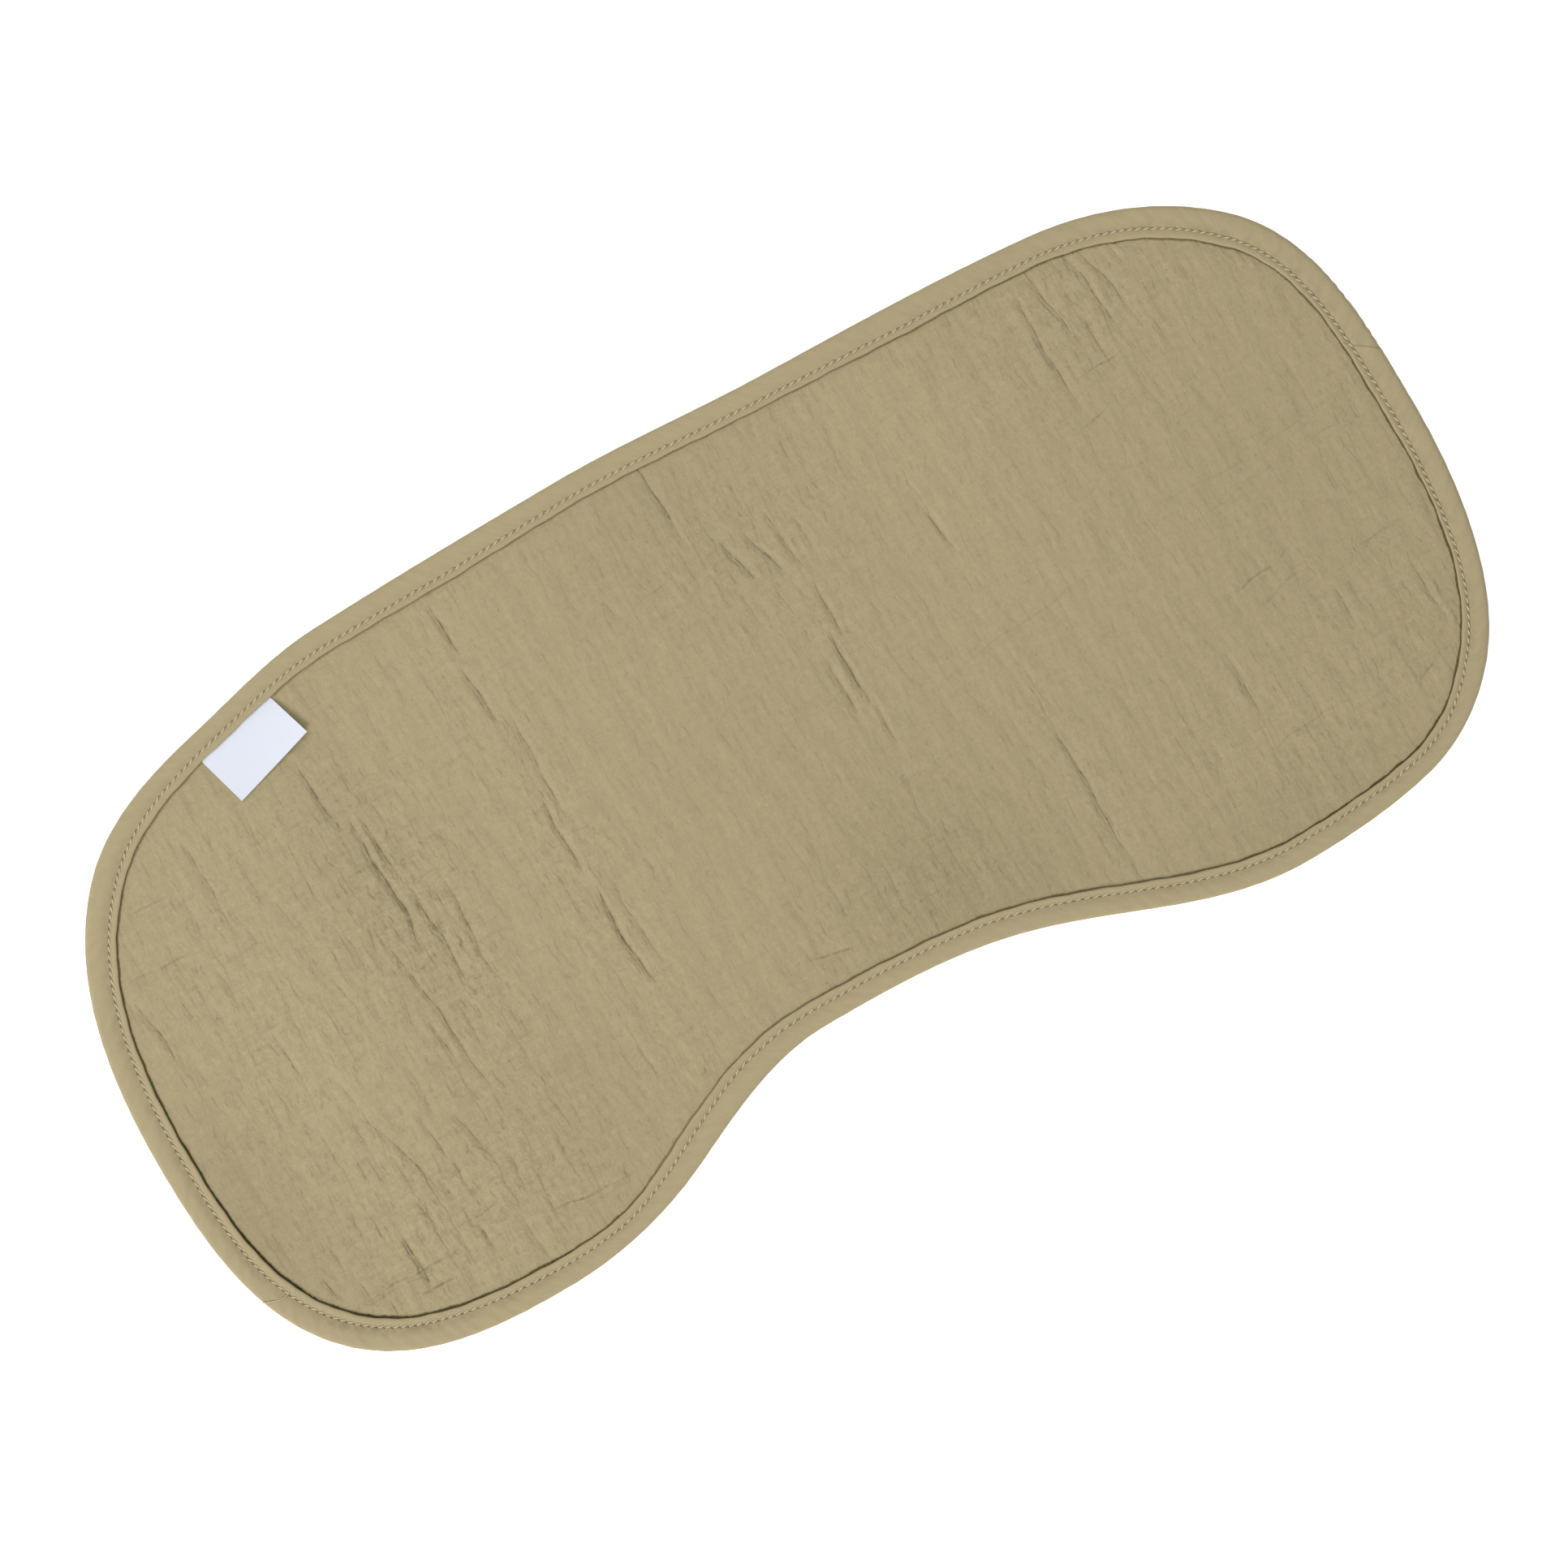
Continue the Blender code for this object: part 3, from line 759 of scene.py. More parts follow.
def buildMuslinMaterial():
    material, tree, shader = startMaterial("crinkledMuslin", 0.95, sheen=0.04, specular=0.15)
    where = objectMillimetres(tree)
    crinkle = stored(tree, "crinkle")
    weave = useGroup(tree, plainWeave, vector=where, pitch=0.55, slub=0.5)
    across = useGroup(tree, creaseLine, side=stored(tree, "creaseSide"),
                      strength=stored(tree, "creaseStrength"), width=0.42)
    along = useGroup(tree, creaseLine, side=stored(tree, "foldSide"),
                     strength=stored(tree, "foldStrength"), width=0.5)
    turned = scaled(tree, where, 1.0, 1.0, turn=86.0)
    dashes = useGroup(tree, wanderingLines, vector=where, pitch=3.1, wander=2.4, run=6.0, cover=0.55)
    pleats = useGroup(tree, wanderingLines, vector=where, pitch=5.7, wander=1.6, run=22.0, cover=0.50)
    tacks = useGroup(tree, wanderingLines, vector=turned, pitch=4.3, wander=1.8, run=7.0, cover=0.54)

    # puffs between the threads that pull: longer up the cloth than across it
    streaks = centredNoise(tree, scaled(tree, where, 0.42, 0.12), 1.0, shift=57.0)
    rows = centredNoise(tree, scaled(tree, where, 0.12, 0.48), 1.0, shift=83.0)
    puffs = centredNoise(tree, scaled(tree, where, 0.24, 0.17), 1.0, shift=5.0)
    gauze = centredNoise(tree, scaled(tree, where, 1.1, 0.85), 1.0, shift=19.0)

    # painted shadow: a dark line of uneven width in the gap under the binding's lip
    gap = stored(tree, "lipGap")
    uneven = noiseValue(tree, scaled(tree, where, 0.16, 0.16), 3.0, 0.6, 0.0, 31.0)
    gapWidth = mathNode(tree, "MULTIPLY", stored(tree, "lipWidth"), ramp(tree, uneven, 0.3, 0.7, 0.5, 1.3))
    gapLine = ramp(tree, mathNode(tree, "DIVIDE", gap, gapWidth), 0.45, 1.0, 1.0, 0.0)
    gapLine = mathNode(tree, "MULTIPLY", gapLine, stored(tree, "lipShade"))

    # painted shade of the crinkle: darker in the small dashes, pleats and tacks, lighter where the streaks,
    # rows, puffs and gauze rise, matching the bump below
    lines = mathNode(tree, "MULTIPLY_ADD", tacks["Line"], 0.6, dashes["Line"])
    lines = mathNode(tree, "MULTIPLY_ADD", pleats["Line"], 0.8, lines)
    soft = mathNode(tree, "MULTIPLY_ADD", streaks, -0.06, mathNode(tree, "MULTIPLY", puffs, -0.05))
    soft = mathNode(tree, "MULTIPLY_ADD", rows, -0.08, soft)
    soft = mathNode(tree, "MULTIPLY_ADD", gauze, -0.10, soft)
    soft = mathNode(tree, "MULTIPLY_ADD", lines, 0.055, soft)
    shade = mathNode(tree, "MULTIPLY", soft, crinkle)
    # painted broad light and shade from the broadShadeSpots table
    shade = mathNode(tree, "ADD", shade, stored(tree, "tone"))
    # painted shade along the creases and folds (a thin dark line and a softer broad shade) and a painted
    # highlight on each crease's shoulder, laid over their pinched relief
    broken = noiseValue(tree, scaled(tree, where, 0.22, 0.22), 2.0, 0.6, 0.0, 91.0)
    broken = ramp(tree, broken, 0.35, 0.62, 0.25, 1.0)
    acrossLine = mathNode(tree, "MULTIPLY", across["Line"], broken)
    alongLine = mathNode(tree, "MULTIPLY", along["Line"], broken)
    shade = mathNode(tree, "MULTIPLY_ADD", acrossLine, muslin["lineShade"], shade)
    shade = mathNode(tree, "MULTIPLY_ADD", alongLine, 0.8 * muslin["lineShade"], shade)
    shade = mathNode(tree, "MULTIPLY_ADD", across["Shoulder"], -0.4 * muslin["softShade"], shade)
    shade = mathNode(tree, "MULTIPLY_ADD", stored(tree, "creaseStrength"), muslin["softShade"], shade)
    shade = mathNode(tree, "MULTIPLY_ADD", weave["Shade"], -0.05, shade)
    shade = mathNode(tree, "MULTIPLY_ADD", gapLine, muslin["gapShade"], shade)
    tone = useGroup(tree, clothTone, vector=where, colour=muslin["colour"], shade=shade,
                    cloud=0.06, mottle=0.24, specks=0.30)
    tree.links.new(tone["Colour"], shader.inputs["Base Color"])

    height = mathNode(tree, "MULTIPLY_ADD", streaks, 0.5, mathNode(tree, "MULTIPLY", puffs, 0.9))
    height = mathNode(tree, "MULTIPLY_ADD", rows, 0.7, height)
    height = mathNode(tree, "MULTIPLY_ADD", gauze, 0.20, height)
    height = mathNode(tree, "MULTIPLY_ADD", lines, -0.16, height)
    height = mathNode(tree, "MULTIPLY", height, crinkle)
    height = mathNode(tree, "MULTIPLY_ADD", acrossLine, -1.0, height)
    height = mathNode(tree, "MULTIPLY_ADD", alongLine, -0.8, height)
    height = mathNode(tree, "MULTIPLY_ADD", weave["Height"], 0.08, height)
    bumpInto(tree, shader, height, 1.0, muslin["bumpDepth"])
    return material


def buildPanel():
    random = np.random.default_rng(muslin["seed"])
    bm = bmesh.new()
    bmesh.ops.create_grid(bm, x_segments=muslin["columns"], y_segments=muslin["rows"], size=0.5)
    points, walks = bendGrid(bm.verts, muslin["columns"], muslin["rows"], muslin["gridFrom"])
    inset, nearWalk = nearestEdge(points)
    x, y = points.T

    across = Creases(y, x, 1.6)
    for line in mainCreases:
        across.pinch(swap(line), 0.35, random)
    for line in smallLines(muslin["smallCreases"], 4, 30, 0.12, 0.5, True, random):
        across.pinch(swap(line), 0.5, random, muslin["creasesApart"])
    along = Creases(x, y, 3.4)
    for line in mainFolds:
        along.pinch(line, 0.5, random)
    for line in smallLines(muslin["smallFolds"], 4, 20, 0.10, 0.35, False, random):
        along.pinch(line, 0.5, random, muslin["foldsApart"])

    sway = 3.0 * np.sin(math.tau * (x / 565 + y / 195)) + 1.6 * np.sin(math.tau * (x / 295 + y / 82))
    relief = muslin["ribHeight"] * np.sin(math.tau * (x + sway) / muslin["ribPitch"])
    relief += sum(row[0] * np.sin(math.tau * (x / row[1] + y / row[2])) for row in swells)
    relief += 0.05 * np.sin(x / 0.63 + 1.4 * np.sin(y / 6.1)) * np.sin(y / 4.7 + 2.0 * np.sin(x / 9.0))
    relief += across.relief + along.relief + muslin["pufflift"]
    lipGap = inset - bindingWidth(nearWalk)
    relief *= smoothStep(-0.4, 3.5, lipGap)
    relief *= 1.0 - labelNearness(points)
    heights = np.clip(muslin["rimTop"] + relief, muslin["lowest"], muslin["highest"])

    walkLayer = bm.verts.layers.float.new("walk")
    for vert, (px, py), pz, walk in zip(bm.verts, points, heights, walks):
        vert.co = (px, py, pz)
        vert[walkLayer] = walk
    rim = [item for item in bm.edges if item.is_boundary]
    rings = (
        # from the cut edge, share of the binding's width, height
        (muslin["rimFrom"], 0.0, muslin["rimTop"]),
        (muslin["rimFrom"], 0.0, muslin["rimUnder"]),
        (muslin["pastLip"], 1.0, muslin["rimUnder"]),
        (muslin["comesDownIn"], 1.0, 0.0),
    )
    for ringInset, widths, ringHeight in rings:
        verts, rim = growRing(bm, rim)
        ringWalks = np.array([vert[walkLayer] for vert in verts])
        ringInsets = ringInset + widths * bindingWidth(ringWalks)
        for vert, (px, py) in zip(verts, edgeAt(ringWalks, ringInsets)):
            vert.co = (px, py, ringHeight)
    ringTree = kdtree.KDTree(len(verts))
    for number, vert in enumerate(verts):
        ringTree.insert(vert.co, number)
    ringTree.balance()
    ring = set(verts)

    columns, rows = muslin["columns"] // muslin["underShare"], muslin["rows"] // muslin["underShare"]
    under = bmesh.ops.create_grid(bm, x_segments=columns, y_segments=rows, size=0.5)["verts"]
    underPoints, _ = bendGrid(under, columns, rows, muslin["comesDownIn"] + 10.0)
    ux, uy = underPoints.T
    underSway = ux + 3.0 * np.sin(uy / 31)
    underRelief = muslin["underRelief"] * (
        0.5 - 0.5 * np.sin(math.tau * underSway / muslin["ribPitch"]) * np.cos(uy / 17 + ux / 40)
    )
    for vert, (px, py), pz in zip(under, underPoints, underRelief):
        vert.co = (px, py, pz)
    underRim = [item for item in bm.edges if item.is_boundary and ring.isdisjoint(item.verts)]
    bmesh.ops.subdivide_edges(bm, edges=underRim, cuts=muslin["underShare"] - 1)
    openVerts = list({vert for item in bm.edges if item.is_boundary for vert in item.verts})
    for vert in openVerts:
        vert.co = ringTree.find((vert.co.x, vert.co.y, 0.0))[0]
    bmesh.ops.remove_doubles(bm, verts=openVerts, dist=0.001)

    piece = finishPiece("muslinPanel", bm, buildMuslinMaterial())
    storeValues(piece, "creaseSide", across.away)
    storeValues(piece, "creaseStrength", across.strength)
    storeValues(piece, "foldSide", along.away)
    storeValues(piece, "foldStrength", along.strength)
    storeValues(piece, "lipGap", lipGap)
    storeValues(piece, "lipShade", roundEdge(nearWalk, edgeCharacter, 2))
    storeValues(piece, "lipWidth", roundEdge(nearWalk, edgeCharacter, 3))
    storeValues(piece, "crinkle", crinkleAt(x, y))
    # the painted broad light and shade, stored under the name tone
    storeValues(piece, "tone", broadShadeAt(x, y))
    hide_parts("muslin_panel")
    return piece


# the bias binding

binding = {
    "colour": (0.356, 0.295, 0.170, 1.0),
    "stitches": 437,
    "stationsPerStitch": 4,
    "stitchInset": 7.5,
    "nominalWidth": 10.5,
    "puckers": 178,
    "puckerSlant": 0.16,
    "edgeWave": 0.05,
    "endRipple": 0.16,
    "holeDip": 0.16,
    "seamWalk": 23.5,
    "seamSlant": 0.9,
    "bumpDepth": 0.25,
    "flatWidth": 0.040,
    "flatLength": 1.32,
}

# the folded tape's section where it is 10.5 wide: its outer face from one raw edge round to the
# other, then its inner face back
bindingOuterFace = (
    # inset, height, share of the puckers
    (2.2, 2.6, 0.0),
    (6.2, 2.6, 0.0),
    (9.7, 2.6, 0.0),
    (10.25, 2.74, 0.0),
    (10.5, 3.05, 0.0),
    (10.42, 3.38, 0.0),
    (10.1, 3.58, 0.0),
    (9.5, 3.62, 0.1),
    (8.7, 3.46, 0.1),
    (8.05, 3.26, 0.0),
    (7.75, 3.14, 0.0),
    (7.5, 3.06, 0.0),
    (7.2, 3.14, 0.1),
    (6.6, 3.34, 0.5),
    (5.9, 3.54, 0.8),
    (5.0, 3.74, 1.0),
    (4.1, 3.86, 1.0),
    (3.2, 3.88, 1.0),
    (2.3, 3.86, 1.0),
    (1.4, 3.78, 0.9),
    (0.6, 3.48, 0.6),
    (0.12, 2.80, 0.3),
    (0.0, 1.90, 0.1),
    (0.15, 1.00, 0.0),
    (0.6, 0.40, 0.0),
    (1.4, 0.05, 0.0),
    (4.5, 0.0, 0.0),
    (7.5, 0.12, 0.0),
    (9.8, 0.0, 0.0),
    (10.35, 0.12, 0.0),
    (10.5, 0.50, 0.0),
    (10.35, 0.86, 0.0),
    (9.8, 1.0, 0.0),
    (6.2, 1.0, 0.0),
    (2.2, 1.0, 0.0),
)
bindingInnerFace = (
    (2.2, 0.62, 0.0),
    (6.2, 0.62, 0.0),
    (9.7, 0.62, 0.0),
    (10.1, 0.50, 0.0),
    (9.7, 0.40, 0.0),
    (4.5, 0.40, 0.0),
    (1.5, 0.45, 0.0),
    (0.6, 1.10, 0.0),
    (0.40, 1.90, 0.1),
    (0.75, 2.90, 0.5),
    (1.7, 3.40, 0.9),
    (4.1, 3.46, 1.0),
    (7.5, 2.78, 0.0),
    (9.6, 3.22, 0.0),
    (10.1, 3.10, 0.0),
    (9.7, 3.0, 0.0),
    (6.2, 3.0, 0.0),
    (2.2, 3.0, 0.0),
)


def sectionRun(section):
    # how far round the section each of its points lies
    closed = np.vstack((section, section[:1]))
    return np.concatenate(([0.0], np.cumsum(np.hypot(*np.diff(closed[:, :2], axis=0).T))))


def buildBindingMaterial(stitchRun, stitchPitch):
    material, tree, shader = startMaterial("biasTape", 0.92, sheen=0.05, specular=0.18)
    band = addNode(tree, "ShaderNodeUVMap", uv_map="bandUv").outputs[0]
    band = scaled(tree, band, 1 / mm, 1 / mm)
    weave = useGroup(tree, plainWeave, vector=scaled(tree, band, 1.0, 1.0, turn=45.0), pitch=0.42, slub=0.5)
    strokes = centredNoise(tree, scaled(tree, scaled(tree, band, 1.0, 1.0, turn=48.0), 0.50, 0.12))

    # painted shade: a dark dash beside each needle hole of the topstitching, where the hole sinks in
    split = addNode(tree, "ShaderNodeSeparateXYZ", {0: band}).outputs
    step = mathNode(tree, "FRACT", mathNode(tree, "MULTIPLY_ADD", split[0], 1 / stitchPitch, 0.5))
    alongHole = mathNode(tree, "DIVIDE", mathNode(tree, "SUBTRACT", step, 0.5), 0.30)
    acrossHole = mathNode(tree, "DIVIDE", mathNode(tree, "SUBTRACT", split[1], stitchRun + 0.15), 0.42)
    hole = mathNode(tree, "ADD", mathNode(tree, "MULTIPLY", alongHole, alongHole),
                    mathNode(tree, "MULTIPLY", acrossHole, acrossHole))
    hole = ramp(tree, hole, 0.2, 1.0, 1.0, 0.0)
    # painted shade along the stitched line, where the tape is pulled down into a V
    offStitches = mathNode(tree, "ABSOLUTE", mathNode(tree, "SUBTRACT", split[1], stitchRun))
    groove = ramp(tree, offStitches, 0.1, 0.6, 1.0, 0.0)
    seam = useGroup(tree, creaseLine, side=stored(tree, "seamSide"),
                    strength=stored(tree, "seamStrength"), width=0.35)

    shade = mathNode(tree, "MULTIPLY", hole, 0.45)
    shade = mathNode(tree, "MULTIPLY_ADD", groove, 0.04, shade)
    shade = mathNode(tree, "MULTIPLY_ADD", seam["Line"], 0.25, shade)
    # painted shade in rumpled patches between the stitches and the fold, where the tape is pulled round a
    # bend
    patches = noiseValue(tree, scaled(tree, band, 0.30, 0.34), 2.0, 0.6, 0.0, 12.0)
    patches = ramp(tree, patches, 0.36, 0.66, 0.25, 1.3)
    beside = ramp(tree, mathNode(tree, "SUBTRACT", split[1], stitchRun), 0.4, 4.2, 1.0, 0.0)
    beside = mathNode(tree, "MULTIPLY", beside, mathNode(tree, "GREATER_THAN", split[1], stitchRun + 0.1))
    beside = mathNode(tree, "MULTIPLY", mathNode(tree, "MULTIPLY", beside, patches), stored(tree, "pucker"))
    shade = mathNode(tree, "MULTIPLY_ADD", beside, 1.0, shade)
    # painted shade along the bias strokes: lighter where they rise in the bump below
    shade = mathNode(tree, "MULTIPLY_ADD", strokes, -0.16, shade)
    shade = mathNode(tree, "MULTIPLY_ADD", weave["Shade"], -0.04, shade)
    tone = useGroup(tree, clothTone, vector=objectMillimetres(tree), colour=binding["colour"], shade=shade,
                    cloud=0.06, mottle=0.09)
    tree.links.new(tone["Colour"], shader.inputs["Base Color"])
    height = mathNode(tree, "MULTIPLY_ADD", strokes, 1.0, mathNode(tree, "MULTIPLY", weave["Height"], 0.14))
    height = mathNode(tree, "MULTIPLY_ADD", hole, -0.6, height)
    height = mathNode(tree, "MULTIPLY_ADD", seam["Line"], -0.6, height)
    bumpInto(tree, shader, height, 0.7, binding["bumpDepth"])
    return material


def bindingRelief(walk, inset, share):
    # puckers on the slant between the stitches and the outer fold
    amount = roundEdge(walk, edgeCharacter, 1)
    phase = binding["puckers"] * walk / edgeLength + binding["puckerSlant"] * inset
    phase = phase + 0.35 * roundWave(walk, 23, 0.1) + 0.2 * roundWave(walk, 61, 0.6)
    spells = 0.6 + 0.4 * roundWave(walk, 31, 0.3) * roundWave(walk, 17, 0.7)
    return share * amount * spells * np.sin(math.tau * phase)


def buildBinding():
    section = np.array(bindingOuterFace + bindingInnerFace)
    run = sectionRun(section)
    stitchIndex = [row[0] for row in bindingOuterFace].index(binding["stitchInset"])
    stitchPitch = edgeLength / binding["stitches"]
    stations = binding["stitches"] * binding["stationsPerStitch"]
    around = len(section)

    bm = bmesh.new()
    bm.loops.layers.uv.new("bandUv")
    bmesh.ops.create_grid(bm, x_segments=stations, y_segments=around, size=0.5, calc_uvs=True)
    flat = np.array([vert.co[:2] for vert in bm.verts]) + 0.5
    station = np.rint(flat[:, 0] * stations).astype(int)
    place = np.rint(flat[:, 1] * around).astype(int) % around
    walk = (station % stations) * edgeLength / stations
    inset, height, share = section[place].T

    height = height + bindingRelief(walk, inset, share)
    outer = place < len(bindingOuterFace) // 2
    hole = (station % binding["stationsPerStitch"] == 0) * outer * (height > 2.9)
    height = height - hole * binding["holeDip"] * np.exp(-(((inset - binding["stitchInset"]) / 0.35) ** 2))
    nearFold = np.clip(1.0 - inset / 3.0, 0.0, 1.0)
    wave = roundWave(walk, 131, 0.2) * (0.6 + 0.4 * roundWave(walk, 19, 0.5))
    wave += 0.5 * roundWave(walk, 211, 0.9)
    rightEnd = np.exp(-(((walk - 32) / 24) ** 2))
    wave = 0.6 + wave * (0.4 + 3.0 * roundEdge(walk, edgeCharacter, 1))
    ripple = rightEnd * (1.0 + np.sin(walk / 0.62)) * (0.6 + 0.4 * np.sin(walk / 3.1))
    inset = inset + nearFold * (binding["edgeWave"] * wave + binding["endRipple"] * ripple)

    seamSide = walk - binding["seamWalk"]
    seamSide = np.where(seamSide > edgeLength / 2, seamSide - edgeLength, seamSide)
    seamSide = seamSide * 0.74 - binding["seamSlant"] * 0.74 * (inset - 5.0)
    seamStrength = np.clip(1.0 - np.abs(seamSide) / 4.0, 0.0, 1.0) * (share > 0)

    nominalStitch, nominalWidth = binding["stitchInset"], binding["nominalWidth"]
    stitch, lip = stitchInset(walk), bindingWidth(walk)
    beyond = np.maximum(0.0, inset - nominalStitch) / (nominalWidth - nominalStitch)
    inset = np.minimum(inset, nominalStitch) * stitch / nominalStitch + beyond * (lip - stitch)
    for vert, (px, py), pz in zip(bm.verts, edgeAt(walk, inset), height):
        vert.co = (px, py, pz)
    sideLayer = bm.verts.layers.float.new("seamSide")
    strengthLayer = bm.verts.layers.float.new("seamStrength")
    puckerLayer = bm.verts.layers.float.new("pucker")
    pucker = roundEdge(walk, edgeCharacter, 1)
    for vert, side, strength, amount in zip(bm.verts, np.clip(seamSide, -6, 6), seamStrength, pucker):
        vert[sideLayer] = side
        vert[strengthLayer] = strength
        vert[puckerLayer] = amount
    bmesh.ops.remove_doubles(bm, verts=bm.verts, dist=0.004)

    piece = finishPiece("edgeBinding", bm, buildBindingMaterial(run[stitchIndex], stitchPitch))
    bandUv = piece.data.uv_layers["bandUv"].uv
    uv = np.empty(2 * len(bandUv), dtype=np.float32)
    bandUv.foreach_get("vector", uv)
    uv = uv.reshape(-1, 2)
    uv[:, 0] *= edgeLength * mm
    uv[:, 1] = np.interp(uv[:, 1] * around, np.arange(around + 1), run) * mm
    bandUv.foreach_set("vector", uv.ravel())
    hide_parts("edge_binding")
    return piece


# the topstitching and its loose tail

thread = {
    "colour": (0.500, 0.425, 0.275, 1.0),
    "length": 0.86,  # share of the stitch pitch
    "width": 0.55,
    "thickness": 0.38,
    "topHeight": 3.32,
    "underHeight": 0.10,
    "slant": 20.0,
    "tailRadius": 0.16,
}

threadTail = (
    # x, y, height
    (-232.9, -70.2, 3.2),
    (-233.6, -71.2, 3.65),
    (-235.2, -71.9, 3.98),
    (-237.4, -71.7, 4.10),
    (-240.0, -70.8, 4.12),
    (-242.0, -70.0, 4.12),
    (-243.2, -69.5, 4.08),
)


def buildThreadMaterial():
    material, tree, shader = startMaterial("sewingThread", 0.75, sheen=0.2, specular=0.35)
    where = objectMillimetres(tree)
    plies = noiseValue(tree, scaled(tree, where, 4.0, 4.0, 4.0), 2.0, 0.6)
    shade = mathNode(tree, "MULTIPLY", mathNode(tree, "SUBTRACT", 0.5, plies), 0.3)
    tone = useGroup(tree, clothTone, vector=where, colour=thread["colour"], shade=shade,
                    cloud=0.04, mottle=0.1)
    tree.links.new(tone["Colour"], shader.inputs["Base Color"])
    bumpInto(tree, shader, plies, 0.5, 0.1)
    return material


def buildStitches(material):
    template = bmesh.new()
    bmesh.ops.create_uvsphere(template, u_segments=7, v_segments=5, radius=0.5)
    bmesh.ops.rotate(template, verts=template.verts, matrix=Matrix.Rotation(math.radians(90), 3, "Y"))
    bmesh.ops.scale(template, verts=template.verts, vec=(1.0, thread["width"], thread["thickness"]))
    oneStitch = bpy.data.meshes.new("oneStitch")
    template.to_mesh(oneStitch)
    template.free()

    random = np.random.default_rng(muslin["seed"] + 1)
    bm = bmesh.new()
    pitch = edgeLength / binding["stitches"]
    for under in (False, True):
        height = thread["underHeight"] if under else thread["topHeight"]
        for number in range(binding["stitches"]):
            ends = np.array((number, number + 1)) * pitch
            start, end = edgeAt(ends, stitchInset(ends))
            run = end - start
            first = len(bm.verts)
            bm.from_mesh(oneStitch)
            bm.verts.ensure_lookup_table()
            heading = math.atan2(run[1], run[0]) + math.radians(thread["slant"] + random.normal(0.0, 3.0))
            middle = (start + end) / 2
            long = np.hypot(*run) * thread["length"] * random.uniform(0.92, 1.05)
            place = Matrix.LocRotScale(
                Vector((middle[0], middle[1], height + random.normal(0.0, 0.015))),
                Matrix.Rotation(heading, 3, "Z").to_quaternion(),
                Vector((long, 1.0, 1.0)),
            )
            bmesh.ops.transform(bm, matrix=place, verts=bm.verts[first:])
    bpy.data.meshes.remove(oneStitch)
    return finishPiece("topstitching", bm, material)


def buildThreadTail(material):
    curve = bpy.data.curves.new("threadTailLine", "CURVE")
    curve.dimensions = "3D"
    curve.bevel_depth = thread["tailRadius"]
    curve.bevel_resolution = 2
    curve.use_fill_caps = True
    spline = curve.splines.new("NURBS")
    spline.points.add(len(threadTail) - 1)
    for point, place in zip(spline.points, threadTail):
        point.co = (*place, 1.0)
    spline.use_endpoint_u = True
    spline.order_u = 4
    holder = bpy.data.objects.new("threadTailLine", curve)
    bpy.context.scene.collection.objects.link(holder)
    bm = bmesh.new()
    bm.from_mesh(holder.to_mesh())
    holder.to_mesh_clear()
    bpy.data.objects.remove(holder)
    bpy.data.curves.remove(curve)
    bmesh.ops.remove_doubles(bm, verts=bm.verts, dist=0.001)
    return finishPiece("threadTail", bm, material)


# the blank satin label

label = {
    "leftX": -167.4,
    "rightX": -136.2,
    "freeLeft": (-162.4, 81.0),
    "freeRight": (-131.1, 90.0),
    "colour": (0.62, 0.65, 0.73, 1.0),
    "wide": 32.5,  # the ribbon before it was folded
    "long": 42.0,
    "ply": 0.13,
    "plyGap": 0.04,
    "tuckedIn": 2.0,
    "sewnHeight": 2.45,
    "lowLift": 0.42,  # how far it stands off the cloth all over
    "leftLift": 0.2,
    "lift": 2.4,  # more, at its right free corner
    "bow": 0.12,
    "columns": 40,
    "lengthSteps": 24,
    "bendSteps": 6,
}


def labelSewn(across):
    # where the label comes out from under the lip, from its left to its right side
    walks = np.linspace(walkTo("upper left corner"), walkTo("top left"), 400)
    lip = edgeAt(walks, bindingWidth(walks))
    x = label["leftX"] + across * (label["rightX"] - label["leftX"])
    order = np.argsort(lip[:, 0])
    return np.array((x, np.interp(x, lip[order, 0], lip[order, 1])))


def buildLabelMaterial():
    material, tree, shader = startMaterial("whiteSatin", 0.5, sheen=0.05, specular=0.35)
    ribbon = addNode(tree, "ShaderNodeUVMap", uv_map="ribbonUv").outputs[0]
    ribbon = scaled(tree, ribbon, 1 / mm, 1 / mm)
    weave = useGroup(tree, plainWeave, vector=ribbon, pitch=0.22, slub=0.35)
    floats = noiseValue(tree, scaled(tree, ribbon, 0.5, 3.5), 3.0, 0.6)
    shade = mathNode(tree, "MULTIPLY", mathNode(tree, "SUBTRACT", 0.5, floats), 0.05)
    shade = mathNode(tree, "MULTIPLY_ADD", weave["Shade"], -0.02, shade)
    tone = useGroup(tree, clothTone, vector=ribbon, colour=label["colour"], shade=shade,
                    cloud=0.03, mottle=0.03)
    tree.links.new(tone["Colour"], shader.inputs["Base Color"])
    rough = ramp(tree, floats, 0.3, 0.7, 0.42, 0.58)
    tree.links.new(rough, shader.inputs["Roughness"])
    height = mathNode(tree, "MULTIPLY_ADD", floats, 0.5, mathNode(tree, "MULTIPLY", weave["Height"], 0.3))
    bumpInto(tree, shader, height, 0.5, 0.08)
    return material


def labelPath(turn):
    # down the upper ply, round the fold and back: share of the length, and which side of the middle
    steps, bend = label["lengthSteps"], label["bendSteps"]
    if turn <= steps:
        return turn / steps, 0.0, 1.0
    if turn >= steps + bend:
        return (2 * steps + bend - turn) / steps, 0.0, -1.0
    angle = math.pi * (turn - steps) / bend
    return 1.0, math.sin(angle), math.cos(angle)


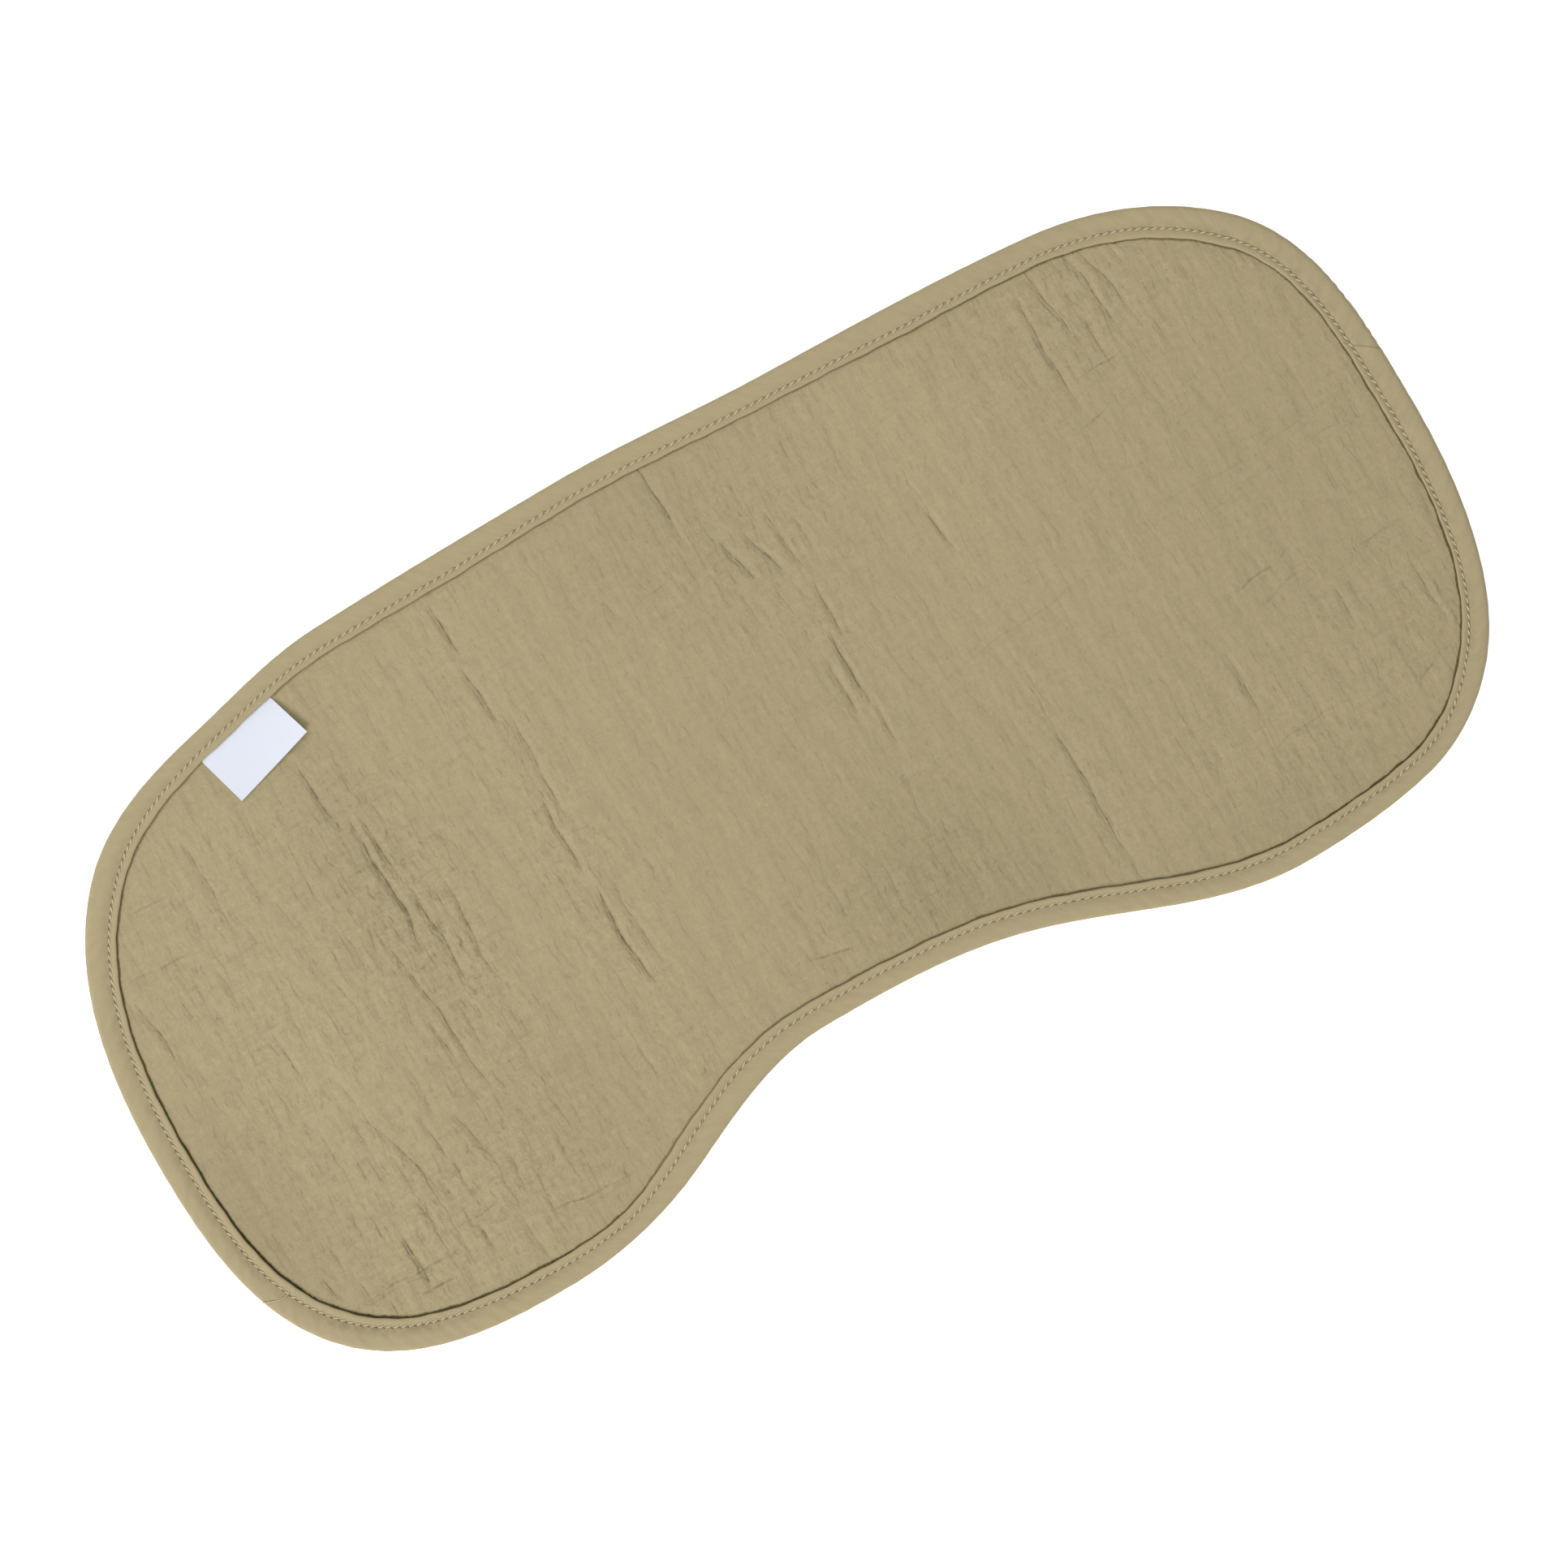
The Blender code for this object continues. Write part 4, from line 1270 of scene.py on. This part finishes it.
def buildLabel():
    # a ribbon folded once: out from under the lip on top, round the free end, and back beneath
    rows = 2 * label["lengthSteps"] + label["bendSteps"]
    bm = bmesh.new()
    bm.loops.layers.uv.new("ribbonUv")
    bmesh.ops.create_grid(bm, x_segments=label["columns"], y_segments=rows, size=0.5, calc_uvs=True)
    half = (label["ply"] + label["plyGap"]) / 2
    tuck = label["tuckedIn"]
    freeLeft, freeRight = np.array(label["freeLeft"]), np.array(label["freeRight"])
    for vert in bm.verts:
        across = vert.co.x + 0.5
        down, past, side = labelPath(round((vert.co.y + 0.5) * rows))
        sewn = labelSewn(across)
        free = freeLeft + across * (freeRight - freeLeft)
        span = np.hypot(*(free - sewn))
        reach = down * (span - half + tuck) - tuck + half * past
        point = sewn + (free - sewn) * reach / span
        out = max(0.0, reach / span)
        rise = label["lowLift"] * float(smoothStep(-0.5, 3.0, reach))
        rise += label["lift"] * across**3 * (0.10 + 0.90 * out) * float(smoothStep(-0.5, 6.0, reach))
        rise += label["leftLift"] * (1 - across) ** 4 * out
        rise += label["bow"] * math.sin(math.pi * across) * out
        vert.co = (point[0], point[1], label["sewnHeight"] + rise + half * side)
    bmesh.ops.solidify(bm, geom=bm.faces[:], thickness=label["ply"])
    piece = finishPiece("blankLabel", bm, buildLabelMaterial())
    piece.data.set_sharp_from_angle(angle=math.radians(50))
    ribbonUv = piece.data.uv_layers["ribbonUv"].uv
    uv = np.empty(2 * len(ribbonUv), dtype=np.float32)
    ribbonUv.foreach_get("vector", uv)
    uv = uv.reshape(-1, 2) * np.array((label["wide"], label["long"])) * mm
    ribbonUv.foreach_set("vector", uv.astype(np.float32).ravel())
    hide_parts("side_label")
    return piece


# floor, light and camera

studio = {
    "photoTurn": 30.5,  # the camera's turn about the vertical
    "middle": (-0.59, -7.53),
    "width": 533.3,  # what the picture is across, at the cloth
    "distance": 1500.0,
    "clothHeight": 3.0,
    "floorSize": 6.0,
    "floorColour": (0.86, 0.86, 0.86, 1.0),
    "floorGlow": 0.65,
    "skyStrength": 0.50,
    "keyPower": 100.0,
    "keySize": 1.9,
    "keyHeight": 42.0,  # degrees above the floor
    "keyFrom": 214.0,  # degrees from +X, where the light comes from
    "keyDistance": 4.0,
    "fillPower": 9.0,
    "fillFrom": 115.0,
    "fillHeight": 58.0,
    "fillDistance": 1.5,
}


def addLight(name, power, size, distance, azimuth, elevation):
    data = bpy.data.lights.new(name, "AREA")
    data.energy = power
    data.shape = "SQUARE"
    data.size = size
    lamp = bpy.data.objects.new(name, data)
    azimuth, elevation = math.radians(azimuth), math.radians(elevation)
    toLight = Vector((
        math.cos(azimuth) * math.cos(elevation), math.sin(azimuth) * math.cos(elevation), math.sin(elevation)
    ))
    lamp.location = distance * toLight
    lamp.rotation_euler = toLight.to_track_quat("Z", "Y").to_euler()
    bpy.context.scene.collection.objects.link(lamp)


def buildStudio():
    bm = bmesh.new()
    bmesh.ops.create_grid(bm, x_segments=1, y_segments=1, size=studio["floorSize"] / 2)
    mesh = bpy.data.meshes.new("paleFloor")
    bm.to_mesh(mesh)
    bm.free()
    floor = bpy.data.objects.new("paleFloor", mesh)
    bpy.context.scene.collection.objects.link(floor)
    material, tree, shader = startMaterial("paleFloor", 0.9)
    shader.inputs["Base Color"].default_value = studio["floorColour"]
    shader.inputs["Emission Color"].default_value = (1.0, 1.0, 1.0, 1.0)
    shader.inputs["Emission Strength"].default_value = studio["floorGlow"]
    mesh.materials.append(material)

    world = bpy.data.worlds.new("softWhite")
    world.use_nodes = True
    world.node_tree.nodes["Background"].inputs["Color"].default_value = (1.0, 1.0, 1.0, 1.0)
    world.node_tree.nodes["Background"].inputs["Strength"].default_value = studio["skyStrength"]
    bpy.context.scene.world = world
    bpy.context.scene.view_settings.view_transform = "Standard"
    addLight("keyLight", studio["keyPower"], studio["keySize"], studio["keyDistance"],
             studio["keyFrom"], studio["keyHeight"])
    addLight("fillLight", studio["fillPower"], 1.2, studio["fillDistance"],
             studio["fillFrom"], studio["fillHeight"])

    camera = bpy.data.cameras.new("photoCamera")
    camera.sensor_width = 36.0
    camera.lens = camera.sensor_width * studio["distance"] / studio["width"]
    holder = bpy.data.objects.new("photoCamera", camera)
    x, y = studio["middle"]
    holder.location = (x * mm, y * mm, (studio["distance"] + studio["clothHeight"]) * mm)
    holder.rotation_euler = (0.0, 0.0, math.radians(-studio["photoTurn"]))
    bpy.context.scene.collection.objects.link(holder)
    bpy.context.scene.camera = holder
    print("studio: floor, lights and camera")


buildStudio()
buildPanel()
buildBinding()
sewingThread = buildThreadMaterial()
buildStitches(sewingThread)
buildThreadTail(sewingThread)
buildLabel()
